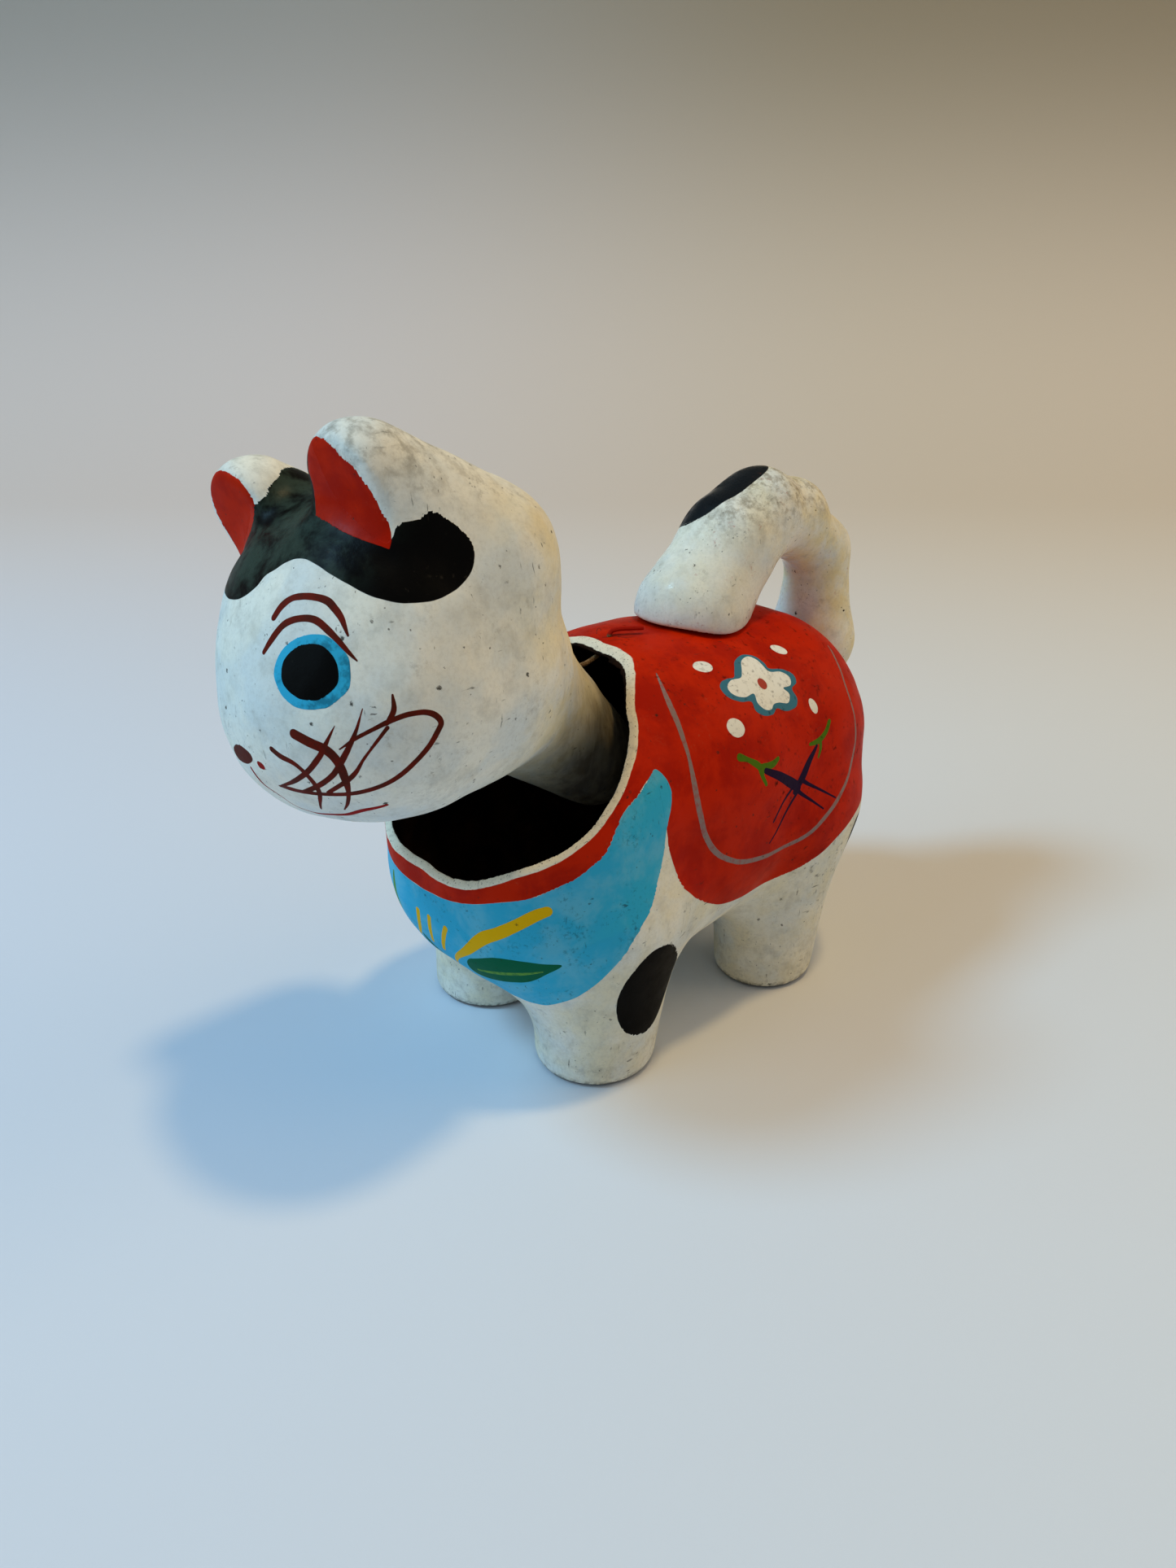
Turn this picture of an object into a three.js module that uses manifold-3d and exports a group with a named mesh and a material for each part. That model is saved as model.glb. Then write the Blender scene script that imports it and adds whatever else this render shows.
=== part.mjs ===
// A papier-mache nodding cat: a hollow four-legged body cut open at the neck, a hollow head
// that hangs in the opening by a thread, and an arched tail pasted to the back.
// Millimetres. X is the cat's left, -Y is the way it faces, Z is up, and the soles are at Z = 0.
import * as THREE from 'three';
import { mergeVertices } from 'three/addons/utils/BufferGeometryUtils.js';
import Module from 'manifold-3d';

const wasm = await Module();
wasm.setup();

// Paper and fits
const wall = 1.6;
const clearance = 0.3;

// Body: two rounded blocks melted together, the chest in front and the rump behind
const bodyHalfWidth = 31.2;
const chestCentre = new THREE.Vector3(0, -17.6, 46.4);
const chestHalfLength = 36.3;
const chestHalfHeight = 32.9;
const chestRounding = 27;
const rumpCentre = new THREE.Vector3(0, 22.3, 49);
const rumpHalfLength = 36.7;
const rumpHalfHeight = 31.4;
const rumpRounding = 27.3;
const waistBlend = 13.2;

// Legs: short cones, each from its hip in the body to its sole on the ground
const frontHip = new THREE.Vector3(16.6, -23.1, 31.6);
const frontHipRadius = 15.2;
const frontSole = new THREE.Vector3(17.5, -26, 0);
const frontSoleRadius = 12.1;
const rearHip = new THREE.Vector3(16.9, 30.8, 37.9);
const rearHipRadius = 15.2;
const rearSole = new THREE.Vector3(20.2, 23.9, 0);
const rearSoleRadius = 10.4;
const legBlend = 9.9;
const soleTrim = 5;

// Neck opening: the shell is cut off flat, from low on the chest to the top of the back
const openingFrontHeight = 48.8;
const openingTilt = THREE.MathUtils.degToRad(33.8);

// Head, in its own frame: X to its left ear, -Y to its nose, Z to its crown
const headReach = 40.8;
const headRise = 13.3;
const headShift = 0.4;
const headTurn = THREE.MathUtils.degToRad(4.5);
const headNod = THREE.MathUtils.degToRad(-2.3);
const headTilt = THREE.MathUtils.degToRad(-16.2);
const skullHalf = new THREE.Vector3(27.4, 26.4, 26.6);
const skullRounding = 23.4;
const muzzleCentre = new THREE.Vector3(0, -12.6, -7.8);
const muzzleRadii = new THREE.Vector3(21.9, 16.9, 17.4);
const muzzleBlend = 10.3;

// Ears: thick ridges that run back into the skull, cut off flat in front
const earTip = new THREE.Vector3(15.6, -10.9, 26.8);
const earTipRadius = 8.5;
const earRoot = new THREE.Vector3(16.1, 7.4, 11.9);
const earRootRadius = 13.2;
const earFaceForward = 4.5;
const earFaceLean = THREE.MathUtils.degToRad(18.6);
const earFaceEdge = 1.2;
const earBlend = 4.9;

// Neck: a tapering tube from the back of the head down into the body, open at its end
const napeInHead = new THREE.Vector3(0, 17.6, -9.4);
const napeRadius = 15.3;
const neckEndBehind = 7.2;
const neckEndBelow = 23.4;
const neckEndRadius = 9.2;
const neckBlend = 8.5;

// Tail: an arch from its cut end over its rise, crest and fall to its drop, and then down the
// rump to its seat and root. The first five stand so far behind the neck opening and so far
// above the top of the back.
const cutBehind = 24.5;
const cutAbove = 1.6;
const cutRadius = 12.4;
const riseBehind = 35.6;
const riseAbove = 14.6;
const riseRadius = 10;
const crestBehind = 44.1;
const crestAbove = 19.4;
const crestRadius = 9.1;
const fallBehind = 55;
const fallAbove = 17;
const fallRadius = 7.9;
const dropBehind = 66.2;
const dropAbove = 8.4;
const dropRadius = 6.9;
const tailSeatBehindRump = 5.2;
const tailSeatBelowBack = 13.6;
const tailSeatRadius = 9.5;
const tailRootBelowBack = 22;
const tailRootRadius = 7.5;
const tailBlend = 4;

// Thread: one end lies on the back, then it goes through the shell and forward to the nape
const threadRadius = 0.5;
const threadHoleSide = -2.2;
const threadHoleBehind = 3;
const threadTailSide = 2.2;
const threadTailLength = 5;
const threadDrop = 3.4;
const threadToNape = 8;
const threadSag = 0.9;
const threadSides = 8;
const threadSteps = 22;

// Facets: the spacing of the mesh on each piece, outside and in its hollow
const bodyFacet = 5.5;
const bodyHollowFacet = 6.2;
const headFacet = 4;
const headHollowFacet = 5.8;
const tailFacet = 4.2;

// Fields: each gives the distance from a point to a form, below zero inside it
function roundedBlock(point, centre, half, rounding) {
  const x = Math.abs(point.x - centre.x) - half.x + rounding;
  const y = Math.abs(point.y - centre.y) - half.y + rounding;
  const z = Math.abs(point.z - centre.z) - half.z + rounding;
  const outside = Math.hypot(Math.max(x, 0), Math.max(y, 0), Math.max(z, 0));
  return outside + Math.min(Math.max(x, y, z), 0) - rounding;
}

function ellipsoid(point, centre, radii) {
  const x = (point.x - centre.x) / radii.x;
  const y = (point.y - centre.y) / radii.y;
  const z = (point.z - centre.z) / radii.z;
  const near = Math.hypot(x, y, z);
  const slope = Math.hypot(x / radii.x, y / radii.y, z / radii.z);
  return slope === 0 ? -Math.min(radii.x, radii.y, radii.z) : (near * (near - 1)) / slope;
}

function taperedBar(point, start, end, startRadius, endRadius) {
  const axis = end.clone().sub(start);
  const length = axis.length();
  const offset = point.clone().sub(start);
  const along = offset.dot(axis) / length;
  const across = Math.sqrt(Math.max(offset.lengthSq() - along * along, 0));
  const taper = (startRadius - endRadius) / length;
  const flank = Math.sqrt(1 - taper * taper);
  const slide = along - (across * taper) / flank;
  if (slide <= 0) return Math.hypot(across, along) - startRadius;
  if (slide >= length) return Math.hypot(across, along - length) - endRadius;
  return across * flank + along * taper - startRadius;
}

function melt(a, b, blend) {
  const share = Math.max(blend - Math.abs(a - b), 0) / blend;
  return Math.min(a, b) - (share * share * blend) / 4;
}

function trim(a, b, blend) {
  return -melt(-a, -b, blend);
}

function mirrored(point) {
  return new THREE.Vector3(Math.abs(point.x), point.y, point.z);
}

// The body's outer form, its legs run on below the ground so that the soles can be cut flat
const chestHalf = new THREE.Vector3(bodyHalfWidth, chestHalfLength, chestHalfHeight);
const rumpHalf = new THREE.Vector3(bodyHalfWidth, rumpHalfLength, rumpHalfHeight);
const belowGround = new THREE.Vector3(0, 0, -soleTrim);

function bodyForm(point) {
  const chest = roundedBlock(point, chestCentre, chestHalf, chestRounding);
  const rump = roundedBlock(point, rumpCentre, rumpHalf, rumpRounding);
  const side = mirrored(point);
  const frontToe = frontSole.clone().add(belowGround);
  const rearToe = rearSole.clone().add(belowGround);
  const front = taperedBar(side, frontHip, frontToe, frontHipRadius, frontSoleRadius);
  const rear = taperedBar(side, rearHip, rearToe, rearHipRadius, rearSoleRadius);
  return melt(melt(melt(chest, rump, waistBlend), front, legBlend), rear, legBlend);
}

// Walks from a point until the field says that the surface is reached
const mostSteps = 400;
const nearEnough = 0.005;
const stride = 0.8;

function reach(field, from, direction) {
  const point = from.clone();
  let distance = field(point);
  for (let step = 0; step < mostSteps && Math.abs(distance) > nearEnough; step += 1) {
    point.addScaledVector(direction, distance * stride);
    distance = field(point);
  }
  return point;
}

// Where the opening, the back and the rump lie on the centre plane
const forward = new THREE.Vector3(0, -1, 0);
const up = new THREE.Vector3(0, 0, 1);
const openingNormal = new THREE.Vector3(0, -Math.sin(openingTilt), Math.cos(openingTilt));
const openingUphill = new THREE.Vector3(0, Math.cos(openingTilt), Math.sin(openingTilt));
const farInFront = new THREE.Vector3(0, chestCentre.y - 3 * chestHalfLength, openingFrontHeight);
const openingFront = reach(bodyForm, farInFront, forward.clone().negate());
const farBehind = openingFront.clone().addScaledVector(openingUphill, 4 * chestHalfLength);
const openingBack = reach(bodyForm, farBehind, openingUphill.clone().negate());
const backTop = openingBack.z;

function backAt(x, y) {
  return reach(bodyForm, new THREE.Vector3(x, y, backTop + chestHalfHeight), up.clone().negate());
}

function rumpAt(z) {
  const behind = new THREE.Vector3(0, rumpCentre.y + 3 * rumpHalfLength, z);
  return reach(bodyForm, behind, forward);
}

// The nape, where the thread holds the head, and the head's frame hung from it
const nape = openingBack.clone().add(new THREE.Vector3(0, -threadToNape, -threadDrop));
const headCentre = nape.clone().add(new THREE.Vector3(headShift, -headReach, headRise));
const headPose = new THREE.Matrix4()
  .makeRotationZ(headTurn)
  .multiply(new THREE.Matrix4().makeRotationX(headNod))
  .multiply(new THREE.Matrix4().makeRotationY(headTilt))
  .setPosition(headCentre);
const toHead = headPose.clone().invert();
const neckEnd = nape.clone().add(new THREE.Vector3(0, neckEndBehind, -neckEndBelow));
const neckEndInHead = neckEnd.clone().applyMatrix4(toHead);
const earFaceNormal = new THREE.Vector3(0, -Math.cos(earFaceLean), -Math.sin(earFaceLean));

// The head's outer form, in the head's frame
const skullMiddle = new THREE.Vector3(0, 0, 0);

function headForm(point) {
  const skull = roundedBlock(point, skullMiddle, skullHalf, skullRounding);
  const muzzle = ellipsoid(point, muzzleCentre, muzzleRadii);
  const side = mirrored(point);
  const ridge = taperedBar(side, earTip, earRoot, earTipRadius, earRootRadius);
  const face = side.clone().sub(earTip).dot(earFaceNormal) - earFaceForward;
  const ear = trim(ridge, face, earFaceEdge);
  const neck = taperedBar(point, napeInHead, neckEndInHead, napeRadius, neckEndRadius);
  return melt(melt(melt(skull, muzzle, muzzleBlend), ear, earBlend), neck, neckBlend);
}

// The tail's form: a chain of tapered bars from its cut end on the back to the rump
const seat = rumpAt(backTop - tailSeatBelowBack);
const root = rumpAt(backTop - tailRootBelowBack);
const arch = (behind, above) => new THREE.Vector3(0, openingBack.y + behind, backTop + above);
const tailPath = [
  { at: arch(cutBehind, cutAbove), radius: cutRadius },
  { at: arch(riseBehind, riseAbove), radius: riseRadius },
  { at: arch(crestBehind, crestAbove), radius: crestRadius },
  { at: arch(fallBehind, fallAbove), radius: fallRadius },
  { at: arch(dropBehind, dropAbove), radius: dropRadius },
  { at: seat.clone().add(new THREE.Vector3(0, tailSeatBehindRump, 0)), radius: tailSeatRadius },
  { at: root, radius: tailRootRadius },
];

function tailForm(point) {
  let near = Infinity;
  for (let i = 1; i < tailPath.length; i += 1) {
    const from = tailPath[i - 1];
    const to = tailPath[i];
    const length = taperedBar(point, from.at, to.at, from.radius, to.radius);
    near = near === Infinity ? length : melt(near, length, tailBlend);
  }
  return near;
}

// Spare cells of the grid round a form, so that its surface never reaches the grid's border,
// and how a vertex is settled on the surface
const gridMargin = 4;
const settlePasses = 4;
const slopeNudge = 0.01;
const flattestSlope = 0.05;

// Gives the closed mesh where a field is zero: one vertex in each cell that the surface
// crosses, moved onto the surface, and one square for each crossed edge of the grid
function skin(field, low, high, spacing) {
  const cells = high.clone().sub(low).divideScalar(spacing).ceil().addScalar(gridMargin);
  const start = low.clone().add(high).addScaledVector(cells, -spacing).multiplyScalar(0.5);
  const [nx, ny, nz] = [cells.x + 1, cells.y + 1, cells.z + 1];
  const corner = (i, j, k) => (k * ny + j) * nx + i;
  const place = (i, j, k) => new THREE.Vector3(i, j, k).multiplyScalar(spacing).add(start);
  const values = new Float64Array(nx * ny * nz);
  for (let k = 0; k < nz; k += 1) {
    for (let j = 0; j < ny; j += 1) {
      for (let i = 0; i < nx; i += 1) {
        values[corner(i, j, k)] = field(place(i, j, k));
      }
    }
  }
  const slope = (point) => {
    const along = (axis) => {
      const ahead = point.clone().addScaledVector(axis, slopeNudge);
      const behind = point.clone().addScaledVector(axis, -slopeNudge);
      return (field(ahead) - field(behind)) / (2 * slopeNudge);
    };
    const axes = [new THREE.Vector3(1, 0, 0), new THREE.Vector3(0, 1, 0), up];
    return new THREE.Vector3(...axes.map(along));
  };
  const positions = [];
  const vertexOf = new Map();
  const longestPush = spacing / 3;
  const cubeCorners = [0, 1, 2, 3, 4, 5, 6, 7];
  const edges = [1, 2, 4].flatMap((bit) => cubeCorners
    .filter((a) => !(a & bit))
    .map((a) => [a, a | bit]));
  const bitsOf = (a) => [a & 1, (a >> 1) & 1, (a >> 2) & 1];
  for (let k = 0; k < nz - 1; k += 1) {
    for (let j = 0; j < ny - 1; j += 1) {
      for (let i = 0; i < nx - 1; i += 1) {
        const sum = new THREE.Vector3();
        let crossings = 0;
        for (const [a, b] of edges) {
          const [ax, ay, az] = bitsOf(a);
          const [bx, by, bz] = bitsOf(b);
          const va = values[corner(i + ax, j + ay, k + az)];
          const vb = values[corner(i + bx, j + by, k + bz)];
          if (va < 0 === vb < 0) continue;
          const from = place(i + ax, j + ay, k + az);
          sum.add(from.lerp(place(i + bx, j + by, k + bz), va / (va - vb)));
          crossings += 1;
        }
        if (!crossings) continue;
        const point = sum.divideScalar(crossings);
        for (let pass = 0; pass < settlePasses; pass += 1) {
          const normal = slope(point);
          const push = -field(point) / Math.max(normal.lengthSq(), flattestSlope);
          point.addScaledVector(normal, THREE.MathUtils.clamp(push, -longestPush, longestPush));
        }
        vertexOf.set(corner(i, j, k), positions.length / 3);
        positions.push(point.x, point.y, point.z);
      }
    }
  }
  const at = (index) => new THREE.Vector3(...positions.slice(3 * index, 3 * index + 3));
  const faces = [];
  const square = (quad, inside) => {
    const [a, b, c, d] = inside ? quad : [...quad].reverse();
    const short = at(a).distanceTo(at(c)) < at(b).distanceTo(at(d));
    faces.push(...(short ? [a, b, c, a, c, d] : [b, c, d, b, d, a]));
  };
  const cell = (i, j, k) => vertexOf.get(corner(i, j, k));
  for (let k = 1; k < nz - 1; k += 1) {
    for (let j = 1; j < ny - 1; j += 1) {
      for (let i = 1; i < nx - 1; i += 1) {
        const inside = values[corner(i, j, k)] < 0;
        if (inside !== values[corner(i + 1, j, k)] < 0) {
          const quad = [cell(i, j - 1, k - 1), cell(i, j, k - 1), cell(i, j, k), cell(i, j - 1, k)];
          square(quad, inside);
        }
        if (inside !== values[corner(i, j + 1, k)] < 0) {
          const quad = [cell(i - 1, j, k - 1), cell(i - 1, j, k), cell(i, j, k), cell(i, j, k - 1)];
          square(quad, inside);
        }
        if (inside !== values[corner(i, j, k + 1)] < 0) {
          const quad = [cell(i - 1, j - 1, k), cell(i, j - 1, k), cell(i, j, k), cell(i - 1, j, k)];
          square(quad, inside);
        }
      }
    }
  }
  const geometry = new THREE.BufferGeometry();
  geometry.setAttribute('position', new THREE.Float32BufferAttribute(positions, 3));
  geometry.setIndex(faces);
  return geometry;
}

// Solids for cutting and joining
const weldDistance = 1e-4;

function solid(geometry) {
  const bare = geometry.clone();
  bare.deleteAttribute('normal');
  bare.deleteAttribute('uv');
  const merged = mergeVertices(bare, weldDistance);
  return new wasm.Manifold(new wasm.Mesh({
    numProp: 3,
    vertProperties: new Float32Array(merged.attributes.position.array),
    triVerts: new Uint32Array(merged.index.array),
  }));
}

function geometryOf(shape) {
  const mesh = shape.getMesh();
  const geometry = new THREE.BufferGeometry();
  geometry.setAttribute('position', new THREE.BufferAttribute(mesh.vertProperties, 3));
  geometry.setIndex(new THREE.BufferAttribute(mesh.triVerts, 1));
  geometry.computeVertexNormals();
  return geometry;
}

// Everything on the side of a plane that its normal points to, as a block
function beyond(origin, normal) {
  const size = 8 * bodyHalfWidth;
  const block = new THREE.BoxGeometry(size, size, size).translate(0, 0, size / 2);
  const turn = new THREE.Quaternion().setFromUnitVectors(up, normal);
  return solid(block.applyQuaternion(turn).translate(origin.x, origin.y, origin.z));
}

// The grid's box round the body, with room for the waist that bulges where the blocks melt
const room = waistBlend / 2;
const bodyLow = new THREE.Vector3(
  -bodyHalfWidth - room,
  Math.min(chestCentre.y - chestHalfLength, frontSole.y - frontHipRadius) - room,
  -soleTrim - Math.max(frontSoleRadius, rearSoleRadius) - room,
);
const bodyHigh = new THREE.Vector3(
  bodyHalfWidth + room,
  Math.max(rumpCentre.y + rumpHalfLength, rearSole.y + rearHipRadius) + room,
  Math.max(chestCentre.z + chestHalfHeight, rumpCentre.z + rumpHalfHeight) + room,
);

// Thread: it lies on the back, then goes down through its hole and forward to the nape, with a
// little sag. The same route, swollen by the clearance, opens its hole.
const holeTop = backAt(threadHoleSide, openingBack.y + threadHoleBehind);
const insideHole = holeTop.clone().addScaledVector(up, -wall);
const threadTail = new THREE.Vector3(threadTailSide - threadHoleSide, threadTailLength, 0);
const lift = threadRadius + 1.5 * clearance;

function onBack(share) {
  const spot = holeTop.clone().addScaledVector(threadTail, share);
  return backAt(spot.x, spot.y).addScaledVector(up, lift);
}

function insideNeck(share) {
  const sag = 4 * threadSag * share * (1 - share);
  return insideHole.clone().lerp(nape, share).addScaledVector(up, -sag);
}

const threadPath = new THREE.CatmullRomCurve3([
  onBack(1),
  onBack(0.6),
  onBack(0.25),
  holeTop.clone().addScaledVector(up, lift / 2),
  insideNeck(0.1),
  insideNeck(0.4),
  insideNeck(0.75),
  nape,
]);

function strand(radius) {
  const ring = new THREE.Shape();
  ring.absarc(0, 0, radius, 0, 2 * Math.PI, false);
  return new THREE.ExtrudeGeometry(ring, {
    curveSegments: threadSides / 2,
    steps: threadSteps,
    extrudePath: threadPath,
  });
}

// Body: the outer form less the inner one, cut at the opening and at the ground
function makeBody() {
  const outer = solid(skin(bodyForm, bodyLow, bodyHigh, bodyFacet));
  const inside = (point) => bodyForm(point) + wall;
  const hollow = solid(skin(inside, bodyLow, bodyHigh, bodyHollowFacet));
  const innerFloor = new THREE.Vector3(0, 0, wall);
  const cavity = hollow.subtract(beyond(innerFloor, up.clone().negate()));
  const ground = beyond(new THREE.Vector3(), up.clone().negate());
  const mouth = beyond(openingFront, openingNormal);
  const threadHole = solid(strand(threadRadius + clearance));
  return outer.subtract(cavity).subtract(ground).subtract(mouth).subtract(threadHole);
}

// Head: hollow as the body is, with the neck cut off square at its end
const headRoom = skullHalf.clone().addScalar(earRootRadius);
const headLow = headRoom.clone().negate().min(neckEndInHead.clone().subScalar(2 * neckEndRadius));
const headHigh = headRoom.clone().max(neckEndInHead.clone().addScalar(2 * neckEndRadius));

function makeHead() {
  const outer = solid(skin(headForm, headLow, headHigh, headFacet));
  const inside = (point) => headForm(point) + wall;
  const hollow = solid(skin(inside, headLow, headHigh, headHollowFacet));
  const neckWay = neckEndInHead.clone().sub(napeInHead).normalize();
  const head = outer.subtract(hollow).subtract(beyond(neckEndInHead, neckWay));
  const threadRoom = solid(strand(threadRadius + clearance).applyMatrix4(toHead));
  return head.subtract(threadRoom);
}

// Tail: one closed form, hollowed underneath to sit on the back and the rump
function makeTail() {
  const behind = tailPath.reduce((most, knot) => Math.max(most, knot.at.y + knot.radius), 0);
  const above = tailPath.reduce((most, knot) => Math.max(most, knot.at.z + knot.radius), 0);
  const widest = tailPath.reduce((most, knot) => Math.max(most, knot.radius), 0);
  const first = tailPath[0];
  const last = tailPath[tailPath.length - 1];
  const margin = 2 * tailFacet;
  const low = new THREE.Vector3(
    -widest - margin,
    first.at.y - first.radius - margin,
    last.at.z - last.radius - margin,
  );
  const high = new THREE.Vector3(widest + margin, behind + margin, above + margin);
  const whole = solid(skin(tailForm, low, high, tailFacet));
  const seatForm = (point) => bodyForm(point) - clearance;
  return whole.subtract(solid(skin(seatForm, bodyLow, bodyHigh, bodyFacet)));
}

// Assembly
const paint = (colour, roughness) => new THREE.MeshStandardMaterial({
  color: colour,
  roughness,
  metalness: 0,
});

function piece(name, geometry, material) {
  const mesh = new THREE.Mesh(geometry, material);
  mesh.name = name;
  return mesh;
}

const cat = new THREE.Group();
cat.add(piece('body', geometryOf(makeBody()), paint('#b5301a', 0.55)));
cat.add(piece('tail', geometryOf(makeTail()), paint('#dcdccf', 0.6)));
cat.add(piece('neck_thread', strand(threadRadius), paint('#9a8a70', 0.8)));

const head = piece('head', geometryOf(makeHead()), paint('#dcdccf', 0.6));
headPose.decompose(head.position, head.quaternion, head.scale);
cat.add(head);

// The origin is under the middle of the whole figure, on the ground
cat.updateMatrixWorld(true);
const extent = new THREE.Box3().setFromObject(cat, true);
const middle = extent.getCenter(new THREE.Vector3());
cat.position.set(-middle.x, -middle.y, -extent.min.z);
cat.updateMatrixWorld(true);

export default cat;
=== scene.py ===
"""A papier-mache nodding cat: the painted looks of its body, head, tail and thread.

The forms are written in millimetres, in the cat's own coordinates: X is its left, -Y is the way
it faces, Z is up, the soles are at Z = 0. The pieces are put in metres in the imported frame.
"""

import math

import bmesh
import bpy
import numpy as np
from mathutils import Matrix, Vector


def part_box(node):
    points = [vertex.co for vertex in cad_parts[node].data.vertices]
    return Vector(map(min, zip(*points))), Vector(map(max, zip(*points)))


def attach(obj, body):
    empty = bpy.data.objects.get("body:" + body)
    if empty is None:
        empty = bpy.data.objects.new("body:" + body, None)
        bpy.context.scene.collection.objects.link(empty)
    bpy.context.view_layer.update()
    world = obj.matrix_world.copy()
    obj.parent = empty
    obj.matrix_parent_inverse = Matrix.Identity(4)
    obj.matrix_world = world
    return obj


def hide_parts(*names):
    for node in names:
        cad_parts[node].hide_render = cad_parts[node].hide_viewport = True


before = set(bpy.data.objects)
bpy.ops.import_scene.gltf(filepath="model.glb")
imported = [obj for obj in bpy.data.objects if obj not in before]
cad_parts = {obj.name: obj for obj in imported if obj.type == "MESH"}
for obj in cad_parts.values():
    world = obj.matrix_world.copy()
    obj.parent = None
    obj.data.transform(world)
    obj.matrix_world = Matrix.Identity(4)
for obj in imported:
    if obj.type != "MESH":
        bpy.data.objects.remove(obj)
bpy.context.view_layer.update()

# Paper
WALL = 1.6
CLEARANCE = 0.3

# Body: two rounded blocks melted together, and four stub legs
BODY_HALF_WIDTH = 31.2
CHEST_CENTRE = (0, -17.6, 46.4)
CHEST_HALF = (BODY_HALF_WIDTH, 36.3, 32.9)
CHEST_ROUNDING = 27
RUMP_CENTRE = (0, 22.3, 49)
RUMP_HALF = (BODY_HALF_WIDTH, 36.7, 31.4)
RUMP_ROUNDING = 27.3
WAIST_BLEND = 13.2
FRONT_HIP = (16.6, -23.1, 31.6)
FRONT_TOE = (17.5, -26, -5)
REAR_HIP = (16.9, 30.8, 37.9)
REAR_TOE = (20.2, 23.9, -5)
HIP_RADIUS = 15.2
FRONT_TOE_RADIUS = 12.1
REAR_TOE_RADIUS = 10.4
LEG_BLEND = 9.9
SOLE_EDGE = 2.4
FLOOR_EDGE = 1.5
INNER_EDGE = 0.2

# Neck opening and the head that hangs in it
OPENING_FRONT_HEIGHT = 48.8
OPENING_TILT = math.radians(33.8)
CUT_EDGE = 0.55
THIN_RIM = 0.6
THIN_RIM_FROM = 36
THIN_RIM_FULL = 52
NOTCH_PLACE = 7.5
NOTCH_DEPTH = 0.6
NOTCH_WIDTH = 8
RIM_PLACES = (20, 38, 58)
RIM_DROPS = (1.5, 0.3, -0.5)
CORNER_PLACE = (20, 47)
CORNER_REACH = (8, 10)
CORNER_RAISE = 1.5
NOTCH_FADES_AT = 20
THREAD_DROP = 3.4
THREAD_TO_NAPE = 8
HEAD_FROM_NAPE = (0.4, -40.8, 13.3)
HEAD_TURN = math.radians(4.5)
HEAD_NOD = math.radians(-2.3)
HEAD_TILT = math.radians(-16.2)
SKULL_HALF = (27.4, 26.4, 26.6)
SKULL_ROUNDING = 23.4
MUZZLE_CENTRE = (0, -12.6, -7.8)
MUZZLE_RADII = (21.9, 16.9, 17.4)
MUZZLE_BLEND = 10.3
EAR_TIP = (15.6, -10.9, 26.8)
EAR_TIP_RADIUS = 8.5
EAR_ROOT = (16.1, 7.4, 11.9)
EAR_ROOT_RADIUS = 13.2
EAR_FACE_FORWARD = 4.5
EAR_FACE_LEAN = math.radians(18.6)
EAR_FACE_EDGE = 1.2
EAR_BLEND = 4.9
NAPE_IN_HEAD = (0, 17.6, -9.4)
NAPE_RADIUS = 15.3
NECK_END_FROM_NAPE = (0, 7.2, -23.4)
NECK_END_RADIUS = 9.2
NECK_END_EDGE = 0.6
NECK_BLEND = 8.5

# Tail: knots as (behind the opening, above the back, radius)
TAIL_KNOTS = ((24.5, 1.6, 12.4), (35.6, 14.6, 10), (44.1, 19.4, 9.1), (55, 17, 7.9), (66.2, 8.4, 6.9))
TAIL_SEAT = (5.2, 13.6, 9.5)
TAIL_ROOT = (22, 7.5)
TAIL_BLEND = 4
TAIL_CUT_EDGE = 0.8

# How far the surface lies under the solid's, so that its lumps stay within the solid
INSET = 0.22

# Mesh spacing, and how near a painted edge the mesh is made finer: once, then once more
BODY_SPACING = 0.72
HEAD_SPACING = 0.6
TAIL_SPACING = 0.6
EDGE_BAND = 0.95
LINE_BAND = 0.48

# How near the cut of the opening the mesh is made finer once
CUT_BAND = 1.8

# How far from a painted edge the mesh is made coarser, and the share of it that is kept there and
# on the inner sides of the walls
PLAIN_GAP = 1.8
PLAIN_KEPT = 0.32
BODY_INSIDE_KEPT = 0.12
HEAD_INSIDE_KEPT = 0.1

# How wide the brush is on the face and on the bib, and the size of the dots, as shares of what
# the marks below say
FACE_BRUSH = 1.35
BIB_BRUSH = 1.6
TWIG_BRUSH = 1.25
SILVER_BRUSH = 1.1
GREEN_BRUSH = 1.05
DOT_SHARE = 1.5


# Fields: the distance from points to a form, below zero inside it
def rounded_block(points, centre, half, rounding):
    beyond = np.abs(points - np.array(centre)) - np.array(half) + rounding
    outside = np.sqrt((np.maximum(beyond, 0) ** 2).sum(-1))
    return outside + np.minimum(beyond.max(-1), 0) - rounding


def ellipsoid(points, centre, radii):
    share = (points - np.array(centre)) / np.array(radii)
    near = np.sqrt((share**2).sum(-1))
    slope = np.sqrt(((share / np.array(radii)) ** 2).sum(-1))
    return near * (near - 1) / np.maximum(slope, 1e-9)


def tapered_bar(points, start, end, start_radius, end_radius):
    axis = np.subtract(end, start)
    length = np.linalg.norm(axis)
    offset = points - np.array(start)
    along = offset @ axis / length
    across = np.sqrt(np.maximum((offset**2).sum(-1) - along**2, 0))
    taper = (start_radius - end_radius) / length
    flank = math.sqrt(1 - taper**2)
    slide = along - across * taper / flank
    middle = across * flank + along * taper - start_radius
    near_start = np.hypot(across, along) - start_radius
    near_end = np.hypot(across, along - length) - end_radius
    return np.where(slide <= 0, near_start, np.where(slide >= length, near_end, middle))


def melt(a, b, blend):
    share = np.maximum(blend - np.abs(a - b), 0) / blend
    return np.minimum(a, b) - share**2 * blend / 4


def trim(a, b, blend):
    return -melt(-a, -b, blend)


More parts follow.
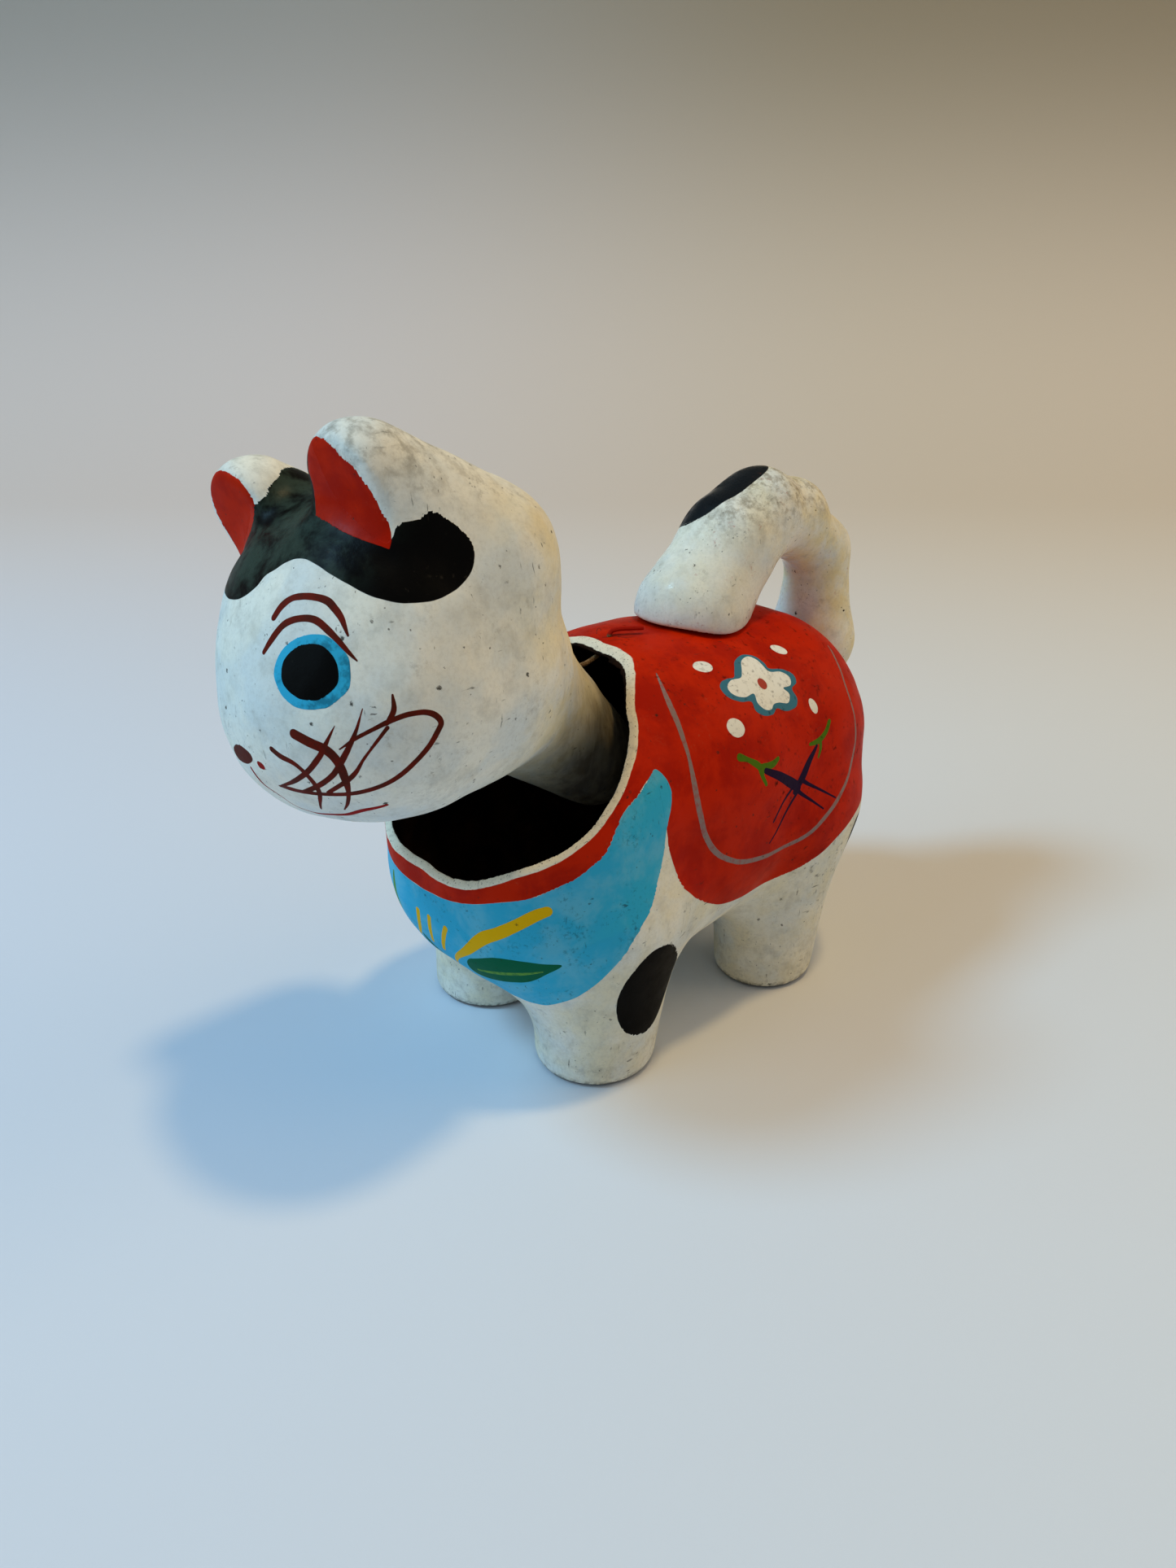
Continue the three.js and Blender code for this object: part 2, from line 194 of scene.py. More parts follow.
def mirrored(points):
    return np.concatenate([np.abs(points[..., :1]), points[..., 1:]], -1)


def body_form(points):
    chest = rounded_block(points, CHEST_CENTRE, CHEST_HALF, CHEST_ROUNDING)
    rump = rounded_block(points, RUMP_CENTRE, RUMP_HALF, RUMP_ROUNDING)
    side = mirrored(points)
    front = tapered_bar(side, FRONT_HIP, FRONT_TOE, HIP_RADIUS, FRONT_TOE_RADIUS)
    rear = tapered_bar(side, REAR_HIP, REAR_TOE, HIP_RADIUS, REAR_TOE_RADIUS)
    return melt(melt(melt(chest, rump, WAIST_BLEND), front, LEG_BLEND), rear, LEG_BLEND)


def reach(field, start, way):
    """Walks from points along a way, or a way each, until the surface is reached"""
    spot = np.array(start, float)
    for _ in range(300):
        gap = field(spot)
        spot = spot + np.array(way) * gap[..., None] * 0.8
        if np.abs(gap).max() < 1e-5:
            break
    return spot


# Places that follow from the forms
uphill = np.array([0, math.cos(OPENING_TILT), math.sin(OPENING_TILT)])
opening_normal = np.array([0, -math.sin(OPENING_TILT), math.cos(OPENING_TILT)])
opening_front = reach(body_form, (0, -126, OPENING_FRONT_HEIGHT), (0, 1, 0))
opening_back = reach(body_form, opening_front + 145 * uphill, -uphill)
back_top = opening_back[2]
nape = opening_back - np.array([0, THREAD_TO_NAPE, THREAD_DROP])
head_centre = nape + HEAD_FROM_NAPE
neck_end = nape + NECK_END_FROM_NAPE
shift = np.array([0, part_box("body")[0].y * 1000 - opening_front[1], 0])


def turned(axis, angle):
    return np.array(Matrix.Rotation(angle, 3, axis))


head_axes = turned("Z", HEAD_TURN) @ turned("X", HEAD_NOD) @ turned("Y", HEAD_TILT)


def to_head(points):
    return (points - head_centre) @ head_axes


neck_end_in_head = to_head(neck_end)
ear_face_normal = np.array([0, -math.cos(EAR_FACE_LEAN), -math.sin(EAR_FACE_LEAN)])


def head_form(points):
    skull = rounded_block(points, (0, 0, 0), SKULL_HALF, SKULL_ROUNDING)
    muzzle = ellipsoid(points, MUZZLE_CENTRE, MUZZLE_RADII)
    side = mirrored(points)
    ridge = tapered_bar(side, EAR_TIP, EAR_ROOT, EAR_TIP_RADIUS, EAR_ROOT_RADIUS)
    face = (side - np.array(EAR_TIP)) @ ear_face_normal - EAR_FACE_FORWARD
    ear = trim(ridge, face, EAR_FACE_EDGE)
    neck = tapered_bar(points, NAPE_IN_HEAD, neck_end_in_head, NAPE_RADIUS, NECK_END_RADIUS)
    return melt(melt(melt(skull, muzzle, MUZZLE_BLEND), ear, EAR_BLEND), neck, NECK_BLEND)


rump_seat = reach(body_form, (0, 132, back_top - TAIL_SEAT[1]), (0, -1, 0)) + (0, TAIL_SEAT[0], 0)
rump_root = reach(body_form, (0, 132, back_top - TAIL_ROOT[0]), (0, -1, 0))
tail_path = [
    ((0, opening_back[1] + behind, back_top + above), radius) for behind, above, radius in TAIL_KNOTS
] + [(rump_seat, TAIL_SEAT[2]), (rump_root, TAIL_ROOT[1])]


def tail_form(points):
    near = None
    for (start, start_radius), (end, end_radius) in zip(tail_path, tail_path[1:]):
        length = tapered_bar(points, start, end, start_radius, end_radius)
        near = length if near is None else melt(near, length, TAIL_BLEND)
    return near


# Unevenness of hand-laid paper: a few waves that cross at random
def waves(rng, points, size, count=9):
    ways = rng.normal(size=(count, 3))
    ways *= (2 * math.pi / size * rng.uniform(0.6, 1.3, count) / np.linalg.norm(ways, axis=1))[:, None]
    phases = rng.uniform(0, 2 * math.pi, count)
    return sum(np.sin(points @ way + phase) for way, phase in zip(ways, phases)) / math.sqrt(count / 2)


def lumpy(size_heights, seed):
    """Gives a field of lumps, each pair a size across and a height"""

    def lumps(points):
        rng = np.random.default_rng(seed)
        return INSET + sum(height * waves(rng, points, size) for size, height in size_heights)

    return lumps


paper_lumps = lumpy(((30, 0.1), (12, 0.06), (5.5, 0.02)), 3)
head_lumps = lumpy(((24, 0.12), (11, 0.06), (5, 0.018)), 5)
tail_lumps = lumpy(((16, 0.08), (7, 0.025)), 7)
cut_lumps = lumpy(((18, 0.16), (6, 0.05)), 9)


def ways_out(angles):
    """Directions from angles (turn, rise) in degrees"""
    turn, rise = np.radians(np.array(angles, float)).T[:2]
    return np.stack([np.sin(turn) * np.cos(rise), -np.cos(turn) * np.cos(rise), np.sin(rise)], -1)


MIDDLE = np.array([0, 0, 40])
FOLDS = (
    (((27.4, -5.9), (34.4, -5.5), (39.7, -3.3), (46.3, -1.7)), 0.3, 1.3),
    (((43, 1), (46, 8), (50, 16)), -0.16, 0.9),
)
fold_lines = []
for angles, height, reach_across in FOLDS:
    line = reach(body_form, MIDDLE + 90 * ways_out(angles), -ways_out(angles))
    fold_lines.append((line, height, reach_across))


def body_lumps(points):
    """The lumps of the paper, and two soft folds in the chest"""
    lumps = paper_lumps(points)
    for line, height, reach_across in fold_lines:
        gap = np.full(points.shape[:-1], np.inf)
        for a, b in zip(line, line[1:]):
            share = np.clip((points - a) @ (b - a) / ((b - a) @ (b - a)), 0, 1)
            gap = np.minimum(gap, np.linalg.norm(points - a - share[..., None] * (b - a), axis=-1))
        lumps = lumps - height * np.exp(-((gap / reach_across) ** 2))
    return lumps


def above_opening(points):
    """How far points are above the cut of the neck opening"""
    return (points - opening_front) @ opening_normal


def above_cut(points):
    """How far points are above the uneven cut: lower in front, higher at the corners of its back"""
    along = (points - opening_front) @ uphill
    drop = np.interp(along, RIM_PLACES, RIM_DROPS)
    notch = NOTCH_DEPTH * np.exp(-(((points[..., 0] - NOTCH_PLACE) / NOTCH_WIDTH) ** 2))
    aside = (np.abs(points[..., 0]) - CORNER_PLACE[0]) / CORNER_REACH[0]
    corner = CORNER_RAISE * np.exp(-(aside**2) - ((along - CORNER_PLACE[1]) / CORNER_REACH[1]) ** 2)
    in_front = np.clip(1 - along / NOTCH_FADES_AT, 0, 1)
    return above_opening(points) + cut_lumps(points) + drop - corner + notch * in_front


def body_shell(points):
    outer = body_form(points) + body_lumps(points)
    height = points[..., 2]
    cavity = trim(outer + WALL, WALL - height, FLOOR_EDGE)
    shell = trim(trim(outer, -height, SOLE_EDGE), -cavity, INNER_EDGE)
    return trim(shell, above_cut(points), CUT_EDGE)


def head_shell(points):
    outer = head_form(points) + head_lumps(points)
    neck_way = neck_end_in_head - np.array(NAPE_IN_HEAD)
    past_end = (points - neck_end_in_head) @ (neck_way / np.linalg.norm(neck_way))
    return trim(trim(outer, -(outer + WALL), INNER_EDGE), past_end, NECK_END_EDGE)


def tail_shell(points):
    lumpy_tail = tail_form(points) + tail_lumps(points)
    return trim(lumpy_tail, CLEARANCE - body_form(points), TAIL_CUT_EDGE)


# Meshing: one vertex in each cell of a grid that the surface crosses, moved onto the surface
def net(field, low, high, spacing):
    low = np.array(low, float)
    counts = np.ceil((np.array(high) - low) / spacing).astype(int) + 2
    lines = [low[axis] + spacing * np.arange(counts[axis]) for axis in range(3)]
    values = np.empty(counts)
    across, up = np.meshgrid(lines[1], lines[2], indexing="ij")
    for index, x in enumerate(lines[0]):
        values[index] = field(np.stack([np.full_like(across, x), across, up], -1))
    inside = values < 0
    corners = [(a >> 2 & 1, a >> 1 & 1, a & 1) for a in range(8)]
    block = [tuple(slice(c, n - 1 + c) for c, n in zip(corner, counts)) for corner in corners]
    filled = sum(inside[part].astype(np.int8) for part in block)
    cells = np.argwhere((filled > 0) & (filled < 8))
    total = np.zeros((len(cells), 3))
    crossings = np.zeros(len(cells))
    for a in range(8):
        for b in range(a + 1, 8):
            if sum(p != q for p, q in zip(corners[a], corners[b])) != 1:
                continue
            start = cells + corners[a]
            end = cells + corners[b]
            at_start = values[tuple(start.T)]
            at_end = values[tuple(end.T)]
            crossed = (at_start < 0) != (at_end < 0)
            share = np.where(crossed, at_start / np.where(crossed, at_start - at_end, 1), 0)
            total += (start + (end - start) * share[:, None]) * crossed[:, None]
            crossings += crossed
    points = low + spacing * total / crossings[:, None]
    points = onto(field, points, spacing / 3)
    number = np.full(counts, -1)
    number[tuple(cells.T)] = np.arange(len(cells))
    faces = []
    for axis in range(3):
        ahead = np.eye(3, dtype=int)[axis]
        one, two = np.eye(3, dtype=int)[(axis + 1) % 3], np.eye(3, dtype=int)[(axis + 2) % 3]
        first = inside[tuple(slice(0, n - step) for n, step in zip(counts, ahead))]
        second = inside[tuple(slice(step, n) for n, step in zip(counts, ahead))]
        edges = np.argwhere(first != second)
        around = ((1, 1), (0, 1), (0, 0), (1, 0))
        quad = [number[tuple((edges - a * one - b * two).T)] for a, b in around]
        quad = np.stack(quad, -1)
        leaving = first[tuple(edges.T)]
        faces.append(np.where(leaving[:, None], quad, quad[:, ::-1]))
    return points, np.concatenate(faces)


def onto(field, points, most):
    """Moves points onto a field's surface in three steps, none longer than most"""
    value = field(points)
    slopes = slope_of(field, points, value)
    steep = np.maximum((slopes**2).sum(-1), 0.1)
    for _ in range(3):
        points = points + slopes * np.clip(-value / steep, -most, most)[:, None]
        value = field(points)
    return points


def slope_of(field, points, value, nudge=0.02):
    return np.stack([(field(points + step) - value) / nudge for step in np.eye(3) * nudge], -1)


def placed(name, data):
    """Puts a new object in the scene"""
    piece = bpy.data.objects.new(name, data)
    bpy.context.scene.collection.objects.link(piece)
    return piece


def mesh_object(name, points, faces):
    """Makes an object of points in the cat's millimetres"""
    mesh = bpy.data.meshes.new(name)
    mesh.from_pydata(((points + shift) / 1000).tolist(), [], faces.tolist())
    mesh.validate()
    return placed(name, mesh)


def points_of(piece):
    """The vertices of a piece, in the cat's millimetres"""
    flat = np.empty(3 * len(piece.data.vertices))
    piece.data.vertices.foreach_get("co", flat)
    return flat.reshape(-1, 3) * 1000 - shift


def thin_out(piece, hidden, keep):
    """Merges faces among the hidden vertices until about a share of them is kept"""
    group = piece.vertex_groups.new(name="hidden")
    group.add(np.flatnonzero(hidden).tolist(), 1.0, "REPLACE")
    modifier = piece.modifiers.new("thin", "DECIMATE")
    modifier.ratio = 1 - (1 - keep) * hidden.mean()
    modifier.vertex_group = group.name
    depsgraph = bpy.context.evaluated_depsgraph_get()
    plain = bpy.data.meshes.new_from_object(piece.evaluated_get(depsgraph))
    piece.modifiers.clear()
    old = piece.data
    piece.data = plain
    bpy.data.meshes.remove(old)
    piece.vertex_groups.clear()
    plain.name = piece.name


def halve_faces(piece, chosen, field):
    """Halves the edges between chosen vertices, and puts the new vertices on a field's surface"""
    old_count = len(piece.data.vertices)
    mesh = bmesh.new()
    mesh.from_mesh(piece.data)
    edges = [edge for edge in mesh.edges if all(chosen[end.index] for end in edge.verts)]
    bmesh.ops.subdivide_edges(mesh, edges=edges, cuts=1, use_grid_fill=True)
    mesh.to_mesh(piece.data)
    mesh.free()
    points = points_of(piece)
    points[old_count:] = onto(field, points[old_count:], 0.2)
    piece.data.vertices.foreach_set("co", ((points + shift) / 1000).ravel())
    piece.data.update()


def thin_plain(piece, marks_of):
    """Makes the mesh coarser where no painted edge and no cut is near"""
    marks = marks_of(points_of(piece))
    edges = [values for name, values in marks.items() if name != "depth"]
    thin_out(piece, np.min(np.abs(edges), 0) > PLAIN_GAP, PLAIN_KEPT)


def paint(piece, marks_of, field, lines):
    """Makes the mesh finer beside what is painted, most beside lines, and keeps every mark"""
    for band, names in ((EDGE_BAND, None), (LINE_BAND, lines)):
        marks = marks_of(points_of(piece))
        edges = [marks[name] for name in names or marks if name not in ("depth", "opening")]
        halve_faces(piece, np.min(np.abs(edges), 0) < band, field)
    for name, values in marks_of(points_of(piece)).items():
        layer = piece.data.attributes.new(name, "FLOAT", "POINT")
        layer.data.foreach_set("value", np.asarray(values, np.float32))


def smooth(piece):
    piece.data.polygons.foreach_set("use_smooth", [True] * len(piece.data.polygons))


# Painting: outlines and strokes are points as seen from a centre, (turn, rise) in degrees. Turn
# is 0 at the front and goes to the cat's left, rise is 0 at the centre's height.
class Canvas:
    def __init__(self, centre, axes, form, lumps):
        self.centre = np.array(centre, float)
        self.axes = axes
        self.form = form
        self.lumps = lumps

    def spots(self, angles):
        """Points on the outer surface, from angles"""
        ways = ways_out(angles)
        own = reach(self.form, 90 * ways, -ways)
        own = onto(lambda points: self.form(points) + self.lumps(points), own, 0.5)
        return own @ self.axes.T + self.centre

    def angles(self, points):
        own = (points - self.centre) @ self.axes
        turn = np.arctan2(own[:, 0], -own[:, 1])
        rise = np.arctan2(own[:, 2], np.hypot(own[:, 0], own[:, 1]))
        return np.degrees(np.stack([turn, rise], -1))


def flowing(points, closed, steps=6):
    """A smooth line through points, of any number of values each"""
    points = np.array(points, float)
    if len(points) < 3:
        return np.array([points[0] + (points[-1] - points[0]) * k / steps for k in range(steps + 1)])
    ends = points[[-1]], points[:2]
    if not closed:
        ends = 2 * points[[0]] - points[[1]], 2 * points[[-1]] - points[[-2]]
    path = np.concatenate([ends[0], points, ends[1]])
    result = []
    for a, b, c, d in zip(path, path[1:], path[2:], path[3:]):
        for k in range(steps):
            t = k / steps
            bend = (2 * a - 5 * b + 4 * c - d) * t**2 + (3 * b - a - 3 * c + d) * t**3
            result.append(b + 0.5 * ((c - a) * t + bend))
    if not closed:
        result.append(points[-1])
    return np.array(result)


def near_line(points, line, widths, far=4.0):
    """The distance from points to a line through spots, less its half width there"""
    result = np.full(len(points), far)
    low = line.min(0) - far
    high = line.max(0) + far
    chosen = np.flatnonzero(((points > low) & (points < high)).all(1))
    here = points[chosen]
    best = np.full(len(chosen), far)
    for a, b, wide_a, wide_b in zip(line, line[1:], widths, widths[1:]):
        way = b - a
        share = np.clip((here - a) @ way / max(way @ way, 1e-12), 0, 1)
        gap = np.linalg.norm(here - a - share[:, None] * way, axis=1)
        best = np.minimum(best, gap - (wide_a + (wide_b - wide_a) * share))
    result[chosen] = best
    return result


def strokes(canvas, points, marks_list, brush=1.0):
    """Brush lines, each of marks (turn, rise, half width)"""
    lines = [flowing(marks, False) for marks in marks_list]
    return np.min([near_line(points, canvas.spots(line), line[:, 2] * brush) for line in lines], 0)


def within(angles, outline):
    """Whether angles are inside a closed outline"""
    x, y = angles.T
    inside = np.zeros(len(angles), bool)
    for (x0, y0), (x1, y1) in zip(outline, np.roll(outline, -1, 0)):
        if y0 == y1:
            continue
        spans = (y0 > y) != (y1 > y)
        inside ^= spans & (x < (x1 - x0) * (y - y0) / (y1 - y0) + x0)
    return inside


def patch(canvas, points, outline, round_corners):
    """A painted area inside a closed outline: its distance, below zero inside"""
    outline = flowing(outline, True) if round_corners else np.array(outline, float)
    line = canvas.spots(np.concatenate([outline, outline[:1]]))
    edge = near_line(points, line, np.zeros(len(line)))
    return np.where(within(canvas.angles(points), outline), -edge, edge)


def patches(canvas, points, outlines, round_corners=True):
    """Several painted areas as one"""
    return np.min([patch(canvas, points, outline, round_corners) for outline in outlines], 0)


def across(marks, middle=0):
    """The same marks on the other side of a middle line, given by its turn"""
    return [(2 * middle - turn, *rest) for turn, *rest in marks]


def both_sides(marks_list, middle=0):
    return [*marks_list, *(across(marks, middle) for marks in marks_list)]


BODY_CANVAS = Canvas(
    MIDDLE, np.eye(3), lambda own: body_form(own + MIDDLE), lambda own: body_lumps(own + MIDDLE)
)
HEAD_CANVAS = Canvas(head_centre, head_axes, head_form, head_lumps)

# Body: the lower edge of the red, from the middle of the chest up round the blue bib and along
# the saddle to the middle of the rump
COLLAR = [
    (0, 2.2), (7.5, 2.8), (13.6, 4), (19.8, 5.8), (26.2, 7.6), (31.8, 10.5), (35.4, 12.5),
    (39.4, 16), (41.7, 19), (44.7, 26.2), (48.6, 30.7), (51.8, 34.7), (54, 37.2),
]
COLLAR_TO_SADDLE = (54.6, 33.5)
BIB_SIDE = [
    (55, 37.7), (57.4, 35.2), (59, 32), (58.9, 28.5), (57.7, 24.6), (56.9, 21.5), (56.2, 15.3),
    (54.1, 6.9), (52.3, 1.3), (48.5, -4.6), (45.3, -9.3), (40.6, -14.6), (35.5, -19),
    (30.4, -21.8), (25.9, -24), (19.7, -25.4), (13, -27), (5, -28), (0, -28.3),
]
SADDLE = [
    (57.2, 21), (57.8, 16.9), (59.9, 10.7), (62.9, 3.5), (68.4, -3.1), (75.5, -9.5), (83.1, -14.7),
    (90, -17.4), (97.2, -19.2), (104, -19.9), (110, -19.6), (116.8, -17.6), (122.7, -13.6),
    (128, -8.7), (132.3, -4.1),
    (136.5, -1.4), (141.9, 0.7), (150, 3), (160, 5), (180, 6),
]
LEG_SPOT = [
    (56.7, -12.2), (59.8, -14.6), (62.6, -20.8), (64.2, -28), (62.9, -33.6), (58.8, -36.4),
    (54, -37.6), (48.9, -35.4), (45.6, -32.2), (44, -28.3), (43.8, -23.8), (45.3, -19.2),
    (48, -15.5), (52.5, -12),
]
REAR_SPOT = [(140, -3), (147, -2), (154, -6), (156, -14), (150, -19), (144, -18), (140.5, -12)]
PETALS = [
    (117.7, 56.8), (125, 58.3), (131.5, 57.2), (132.6, 54.4), (130.1, 50.6), (133.7, 47.6),
    (134.2, 44.8), (131.4, 43.5), (127.9, 44.9), (128.2, 42.5), (125.2, 41.3), (121.5, 43.4),
    (118.4, 44.3), (115.7, 43.8), (112.4, 45), (110.7, 47.8), (112.2, 50.4), (106.2, 51.2),
    (101.2, 53.6), (101, 56), (106.2, 57.1), (113, 55.9),
]
FLOWER_BACK = [
    (113.4, 58.3), (121.6, 59.9), (130.6, 58.8), (134.2, 55.6), (133.2, 52.4), (131.6, 50.7),
    (135.2, 47.7), (136.4, 44.5), (134.4, 42.4), (130.8, 42.6), (129.6, 39.9), (126.6, 38.8),
    (122, 40.3), (118.8, 42.8), (114.9, 42.5), (110.2, 43.8), (107.2, 46.5), (107.8, 49.2),
    (102.1, 51), (97.2, 53.9), (96.6, 56.8), (99.9, 58.2), (105.4, 58), (109.4, 57.2),
]
FLOWER_HEART = (121.2, 50.3, 1.25)
DOTS = [
    ((98.4, 64.7), 1.45, 0.95, 20), ((144.5, 49.4), 1.3, 0.78, 40),
    ((92.9, 45.3), 1.5, 1.15, 30), ((132.9, 34.9), 1.15, 0.72, 75),
]
SILVER = [
    (63.6, 66.6, 0.1), (64, 60.2, 0.36), (64.8, 53.6, 0.55), (66.4, 45.8, 0.46), (67.6, 40, 0.36),
    (68.3, 33, 0.55), (69.6, 25.8, 0.6), (72.2, 17.9, 0.55), (76.8, 10.8, 0.55), (82.7, 5.9, 0.5),
    (90.9, 1.7, 0.5), (101.9, -0.9, 0.5), (114.7, -1.6, 0.45), (122.1, -0.3, 0.45),
    (127.7, 4, 0.45), (132.8, 7.9, 0.42), (138.1, 12.1, 0.4), (142, 17, 0.35), (143.6, 22.4, 0.3),
    (145.4, 28.8, 0.3), (150, 33.5, 0.35), (155.2, 36.6, 0.3),
]
# Painted shade along a thread that lies under the red paint on the back: dark lines, each of marks
# (turn, rise, half width)
THREAD_SHADE_MARKS = [
    [(-28.5, 81.7, 0.12), (-8.8, 85.8, 0.15), (71.7, 87.4, 0.08)],
    [(-6.4, 81.9, 0.06), (5.3, 84.1, 0.09), (23.6, 85.8, 0.05)],
    [(-49.2, 80.3, 0.1), (-66, 79.6, 0.09), (-76, 79.2, 0.09), (-70, 80.4, 0.08), (-61, 81.1, 0.05)],
]
GREENS = [
    [(90.3, 37.3, 0.75), (94, 35.7, 0.5), (98.5, 32.8, 0.7), (100.8, 30.1, 0.4)],
    [(109.3, 31.2, 0.45), (105.6, 30.7, 0.7), (100, 31.7, 0.7)],
    [(101.7, 25.9, 0.35), (100, 29, 0.5), (99.3, 31.6, 0.6)],
    [(134.9, 28.5, 0.45), (132.6, 26.9, 0.55), (129.6, 26.5, 0.6), (126.1, 27.6, 0.35)],
    [(128.4, 22.3, 0.25), (129.7, 24.2, 0.4), (130.1, 26.6, 0.5)],
]
TWIGS = [
    [(102.1, 30, 0.5), (109.4, 25.7, 0.75), (117.8, 19.6, 0.9), (120.2, 17.3, 0.6)],
    [(128.4, 25.7, 0.3), (124.6, 23.2, 0.7), (121.6, 19.9, 0.85), (118.6, 17, 0.6)],
    [(121.6, 19.2, 0.4), (126.7, 13.8, 0.25), (131.5, 8, 0.15)],
    [(119.7, 16.8, 0.4), (124.1, 11.5, 0.25), (127.5, 6.7, 0.15)],
    [(116.6, 18.6, 0.3), (111.6, 15.8, 0.25), (107, 11.2, 0.2)],
    [(119.4, 15.8, 0.3), (113, 10.7, 0.25), (105.5, 3.7, 0.15)],
]
YELLOWS = [
    [(1.7, -19.5, 0.12), (6.5, -13, 0.35), (11.6, -8.1, 0.6), (16.4, -3.2, 0.85), (20, -1, 0.8),
     (23.7, 1.4, 0.75), (27.3, 3.8, 0.75), (29.6, 4.9, 0.65)],
    [(-2.9, -4.2, 0.38), (-4.2, -8.6, 0.34), (-6.4, -12.6, 0.22)],
    [(1, -4.2, 0.36), (-0.3, -8.3, 0.32), (-1.8, -12.7, 0.22)],
    [(6.4, -4.5, 0.38), (4.4, -8.1, 0.36), (1.6, -13.5, 0.25)],
]
LEAF = [
    (9.3, -13.9), (11, -11), (13.9, -9.4), (18.6, -7.6), (23.9, -7.7), (28.4, -8.2), (32.2, -8.9),
    (28.8, -11.4), (25.1, -14.1), (20, -15.8), (13.4, -17.2), (10, -16.6),
]

# The bib's middle line is a little to the right
BIB_MIDDLE = -4
LEAF_VEIN = [(12.6, -13.9, 0.22), (17.7, -13, 0.3), (23.1, -11.9, 0.25), (27.9, -10.7, 0.12)]
SMALL_LEAF = [(-4.9, -11.8, 0.15), (-4.6, -13.6, 0.7), (-4.4, -16, 0.75), (-2.5, -20, 0.35)]
SIDE_LEAF = [(-11.6, 1.2, 0.2), (-12.6, -3.3, 0.5), (-13, -7, 0.55), (-12.6, -10.8, 0.2)]

# Head, in degrees as seen from its middle. The face is painted about its own middle line, which
# is a little off the middle of the ears.
FACE_MIDDLE = -13.5
CAP = [
    (-26, 28.5), (-15.9, 26), (-5.9, 26.2), (2.5, 29.2), (6.9, 32.4), (12.8, 33.8), (17.4, 35.1),
    (22.8, 35.5), (28.2, 34.1), (33, 31.2), (38, 27.2), (43.3, 23.2), (49.3, 18.7), (55.3, 15.8),
    (60.9, 14.3), (68.4, 14), (75.8, 15.8), (82.1, 19.5), (85, 23.8), (85, 27.6), (82.7, 31),
    (79.8, 33.6), (77.6, 35.1), (75.2, 36.4), (72.2, 36.5), (69.6, 35.6), (65.8, 36.1), (62, 35.2),
    (60.1, 33.4), (57, 33), (50, 40), (42, 50), (38, 57), (42, 62), (55, 68), (71, 73), (36, 80),
    (0, 83), (-36, 80), (-66, 75), (-73.7, 69.5), (-53.5, 69.2), (-37.9, 66.8), (-30, 62),
    (-28.4, 58.7), (-29.4, 56.4), (-33, 55), (-40, 50), (-50, 40), (-57, 33), (-60, 33.5),
    (-65, 35.5), (-70, 36), (-77, 37), (-84, 37), (-90, 35), (-95, 31), (-97, 26), (-95, 20),
    (-89, 16), (-81, 15.5), (-74, 18.5), (-68, 22.5), (-62, 27), (-55, 32), (-48, 34.5), (-41, 34.5),
    (-33, 31.5),
]
LEFT_EAR = [
    (38.2, 57.6), (35.4, 57.3), (31.5, 56.6), (30, 54.5), (29.4, 52), (29.6, 49.8), (36.5, 45.6),
    (43.1, 40.5), (47.4, 37.6), (51.5, 34.8), (55, 32.7), (58.4, 30.9), (59.5, 32.5), (60, 34.4),
    (60.1, 36.6), (58.7, 38.7), (57.8, 40.5), (56.6, 42.2), (52.1, 46.9), (47.4, 51), (43.8, 53.8),
    (41, 56),
]
RIGHT_EAR = [
    (-47.5, 54), (-42.5, 56), (-37.5, 57.2), (-32.8, 57.9), (-30.2, 57.4), (-30.2, 55.8),
    (-34.5, 51.4), (-39.3, 46.9), (-45, 41.5), (-51.5, 35.8), (-57.6, 31), (-59.6, 34), (-59.6, 37),
    (-58, 40), (-56, 43.4), (-53.1, 47), (-50.2, 51),
]
IRIS = [
    (40.4, -1.5), (39.2, -5.5), (36.1, -7.9), (32, -9.6), (27.7, -9.6), (23, -8.4), (19.6, -5.9),
    (17.3, -2), (16.5, 1.7), (18.2, 5.8), (21.4, 8.7), (26, 10.4), (30.9, 10.6), (35.3, 9.3),
    (38.5, 6.2), (40.5, 2.5),
]
PUPIL = [
    (37.1, -0.9), (36.3, -3.8), (33.8, -5.8), (30.5, -7.2), (27.6, -7.1), (24.3, -6.2),
    (21.5, -4.2), (19.5, -1.4), (19.3, 1.4), (20.4, 4.6), (22.8, 6.6), (26.3, 8), (29.8, 8),
    (33.2, 7), (35.5, 4.8), (36.9, 2),
]
BROWS = [
    [(16.4, 17.6, 0.42), (19.4, 20.4, 0.45), (23.4, 22.2, 0.4), (27.8, 22.2, 0.4), (32.7, 21.1, 0.4),
     (36.4, 19.3, 0.45), (38.4, 16.8, 0.42), (40.2, 13.4, 0.36), (41.4, 8.4, 0.12)],
    [(12.3, 7.8, 0.3), (15.3, 10.8, 0.42), (19.7, 14.3, 0.42), (23.6, 15.6, 0.4), (28.5, 15.6, 0.4),
     (32.3, 14.3, 0.42), (35.5, 11.2, 0.4), (38.4, 7.5, 0.34), (40.7, 4, 0.24), (42.7, 1.2, 0.1)],
]
NOSE = [
    (-14.6, -18.2), (-8.5, -18), (-3.9, -20), (-4.2, -22.4), (-9.5, -23.6), (-17.5, -23), (-19, -20.5),
]
NOSE_DOT = [(-0.9, -23.9, 0.55), (-0.3, -24.1, 0.55)]
LIPS = [
    [(-8.5, -24.9, 0.2), (-9, -28.3, 0.22), (-9.2, -31.7, 0.18), (-6.9, -36.4, 0.12),
     (-4.6, -41.9, 0.1), (1.1, -45.2, 0.22)],
    [(1.1, -45.2, 0.3), (7, -46.2, 0.4), (17.7, -46.5, 0.36), (28.2, -44.7, 0.36), (37.7, -43.9, 0.25)],
]
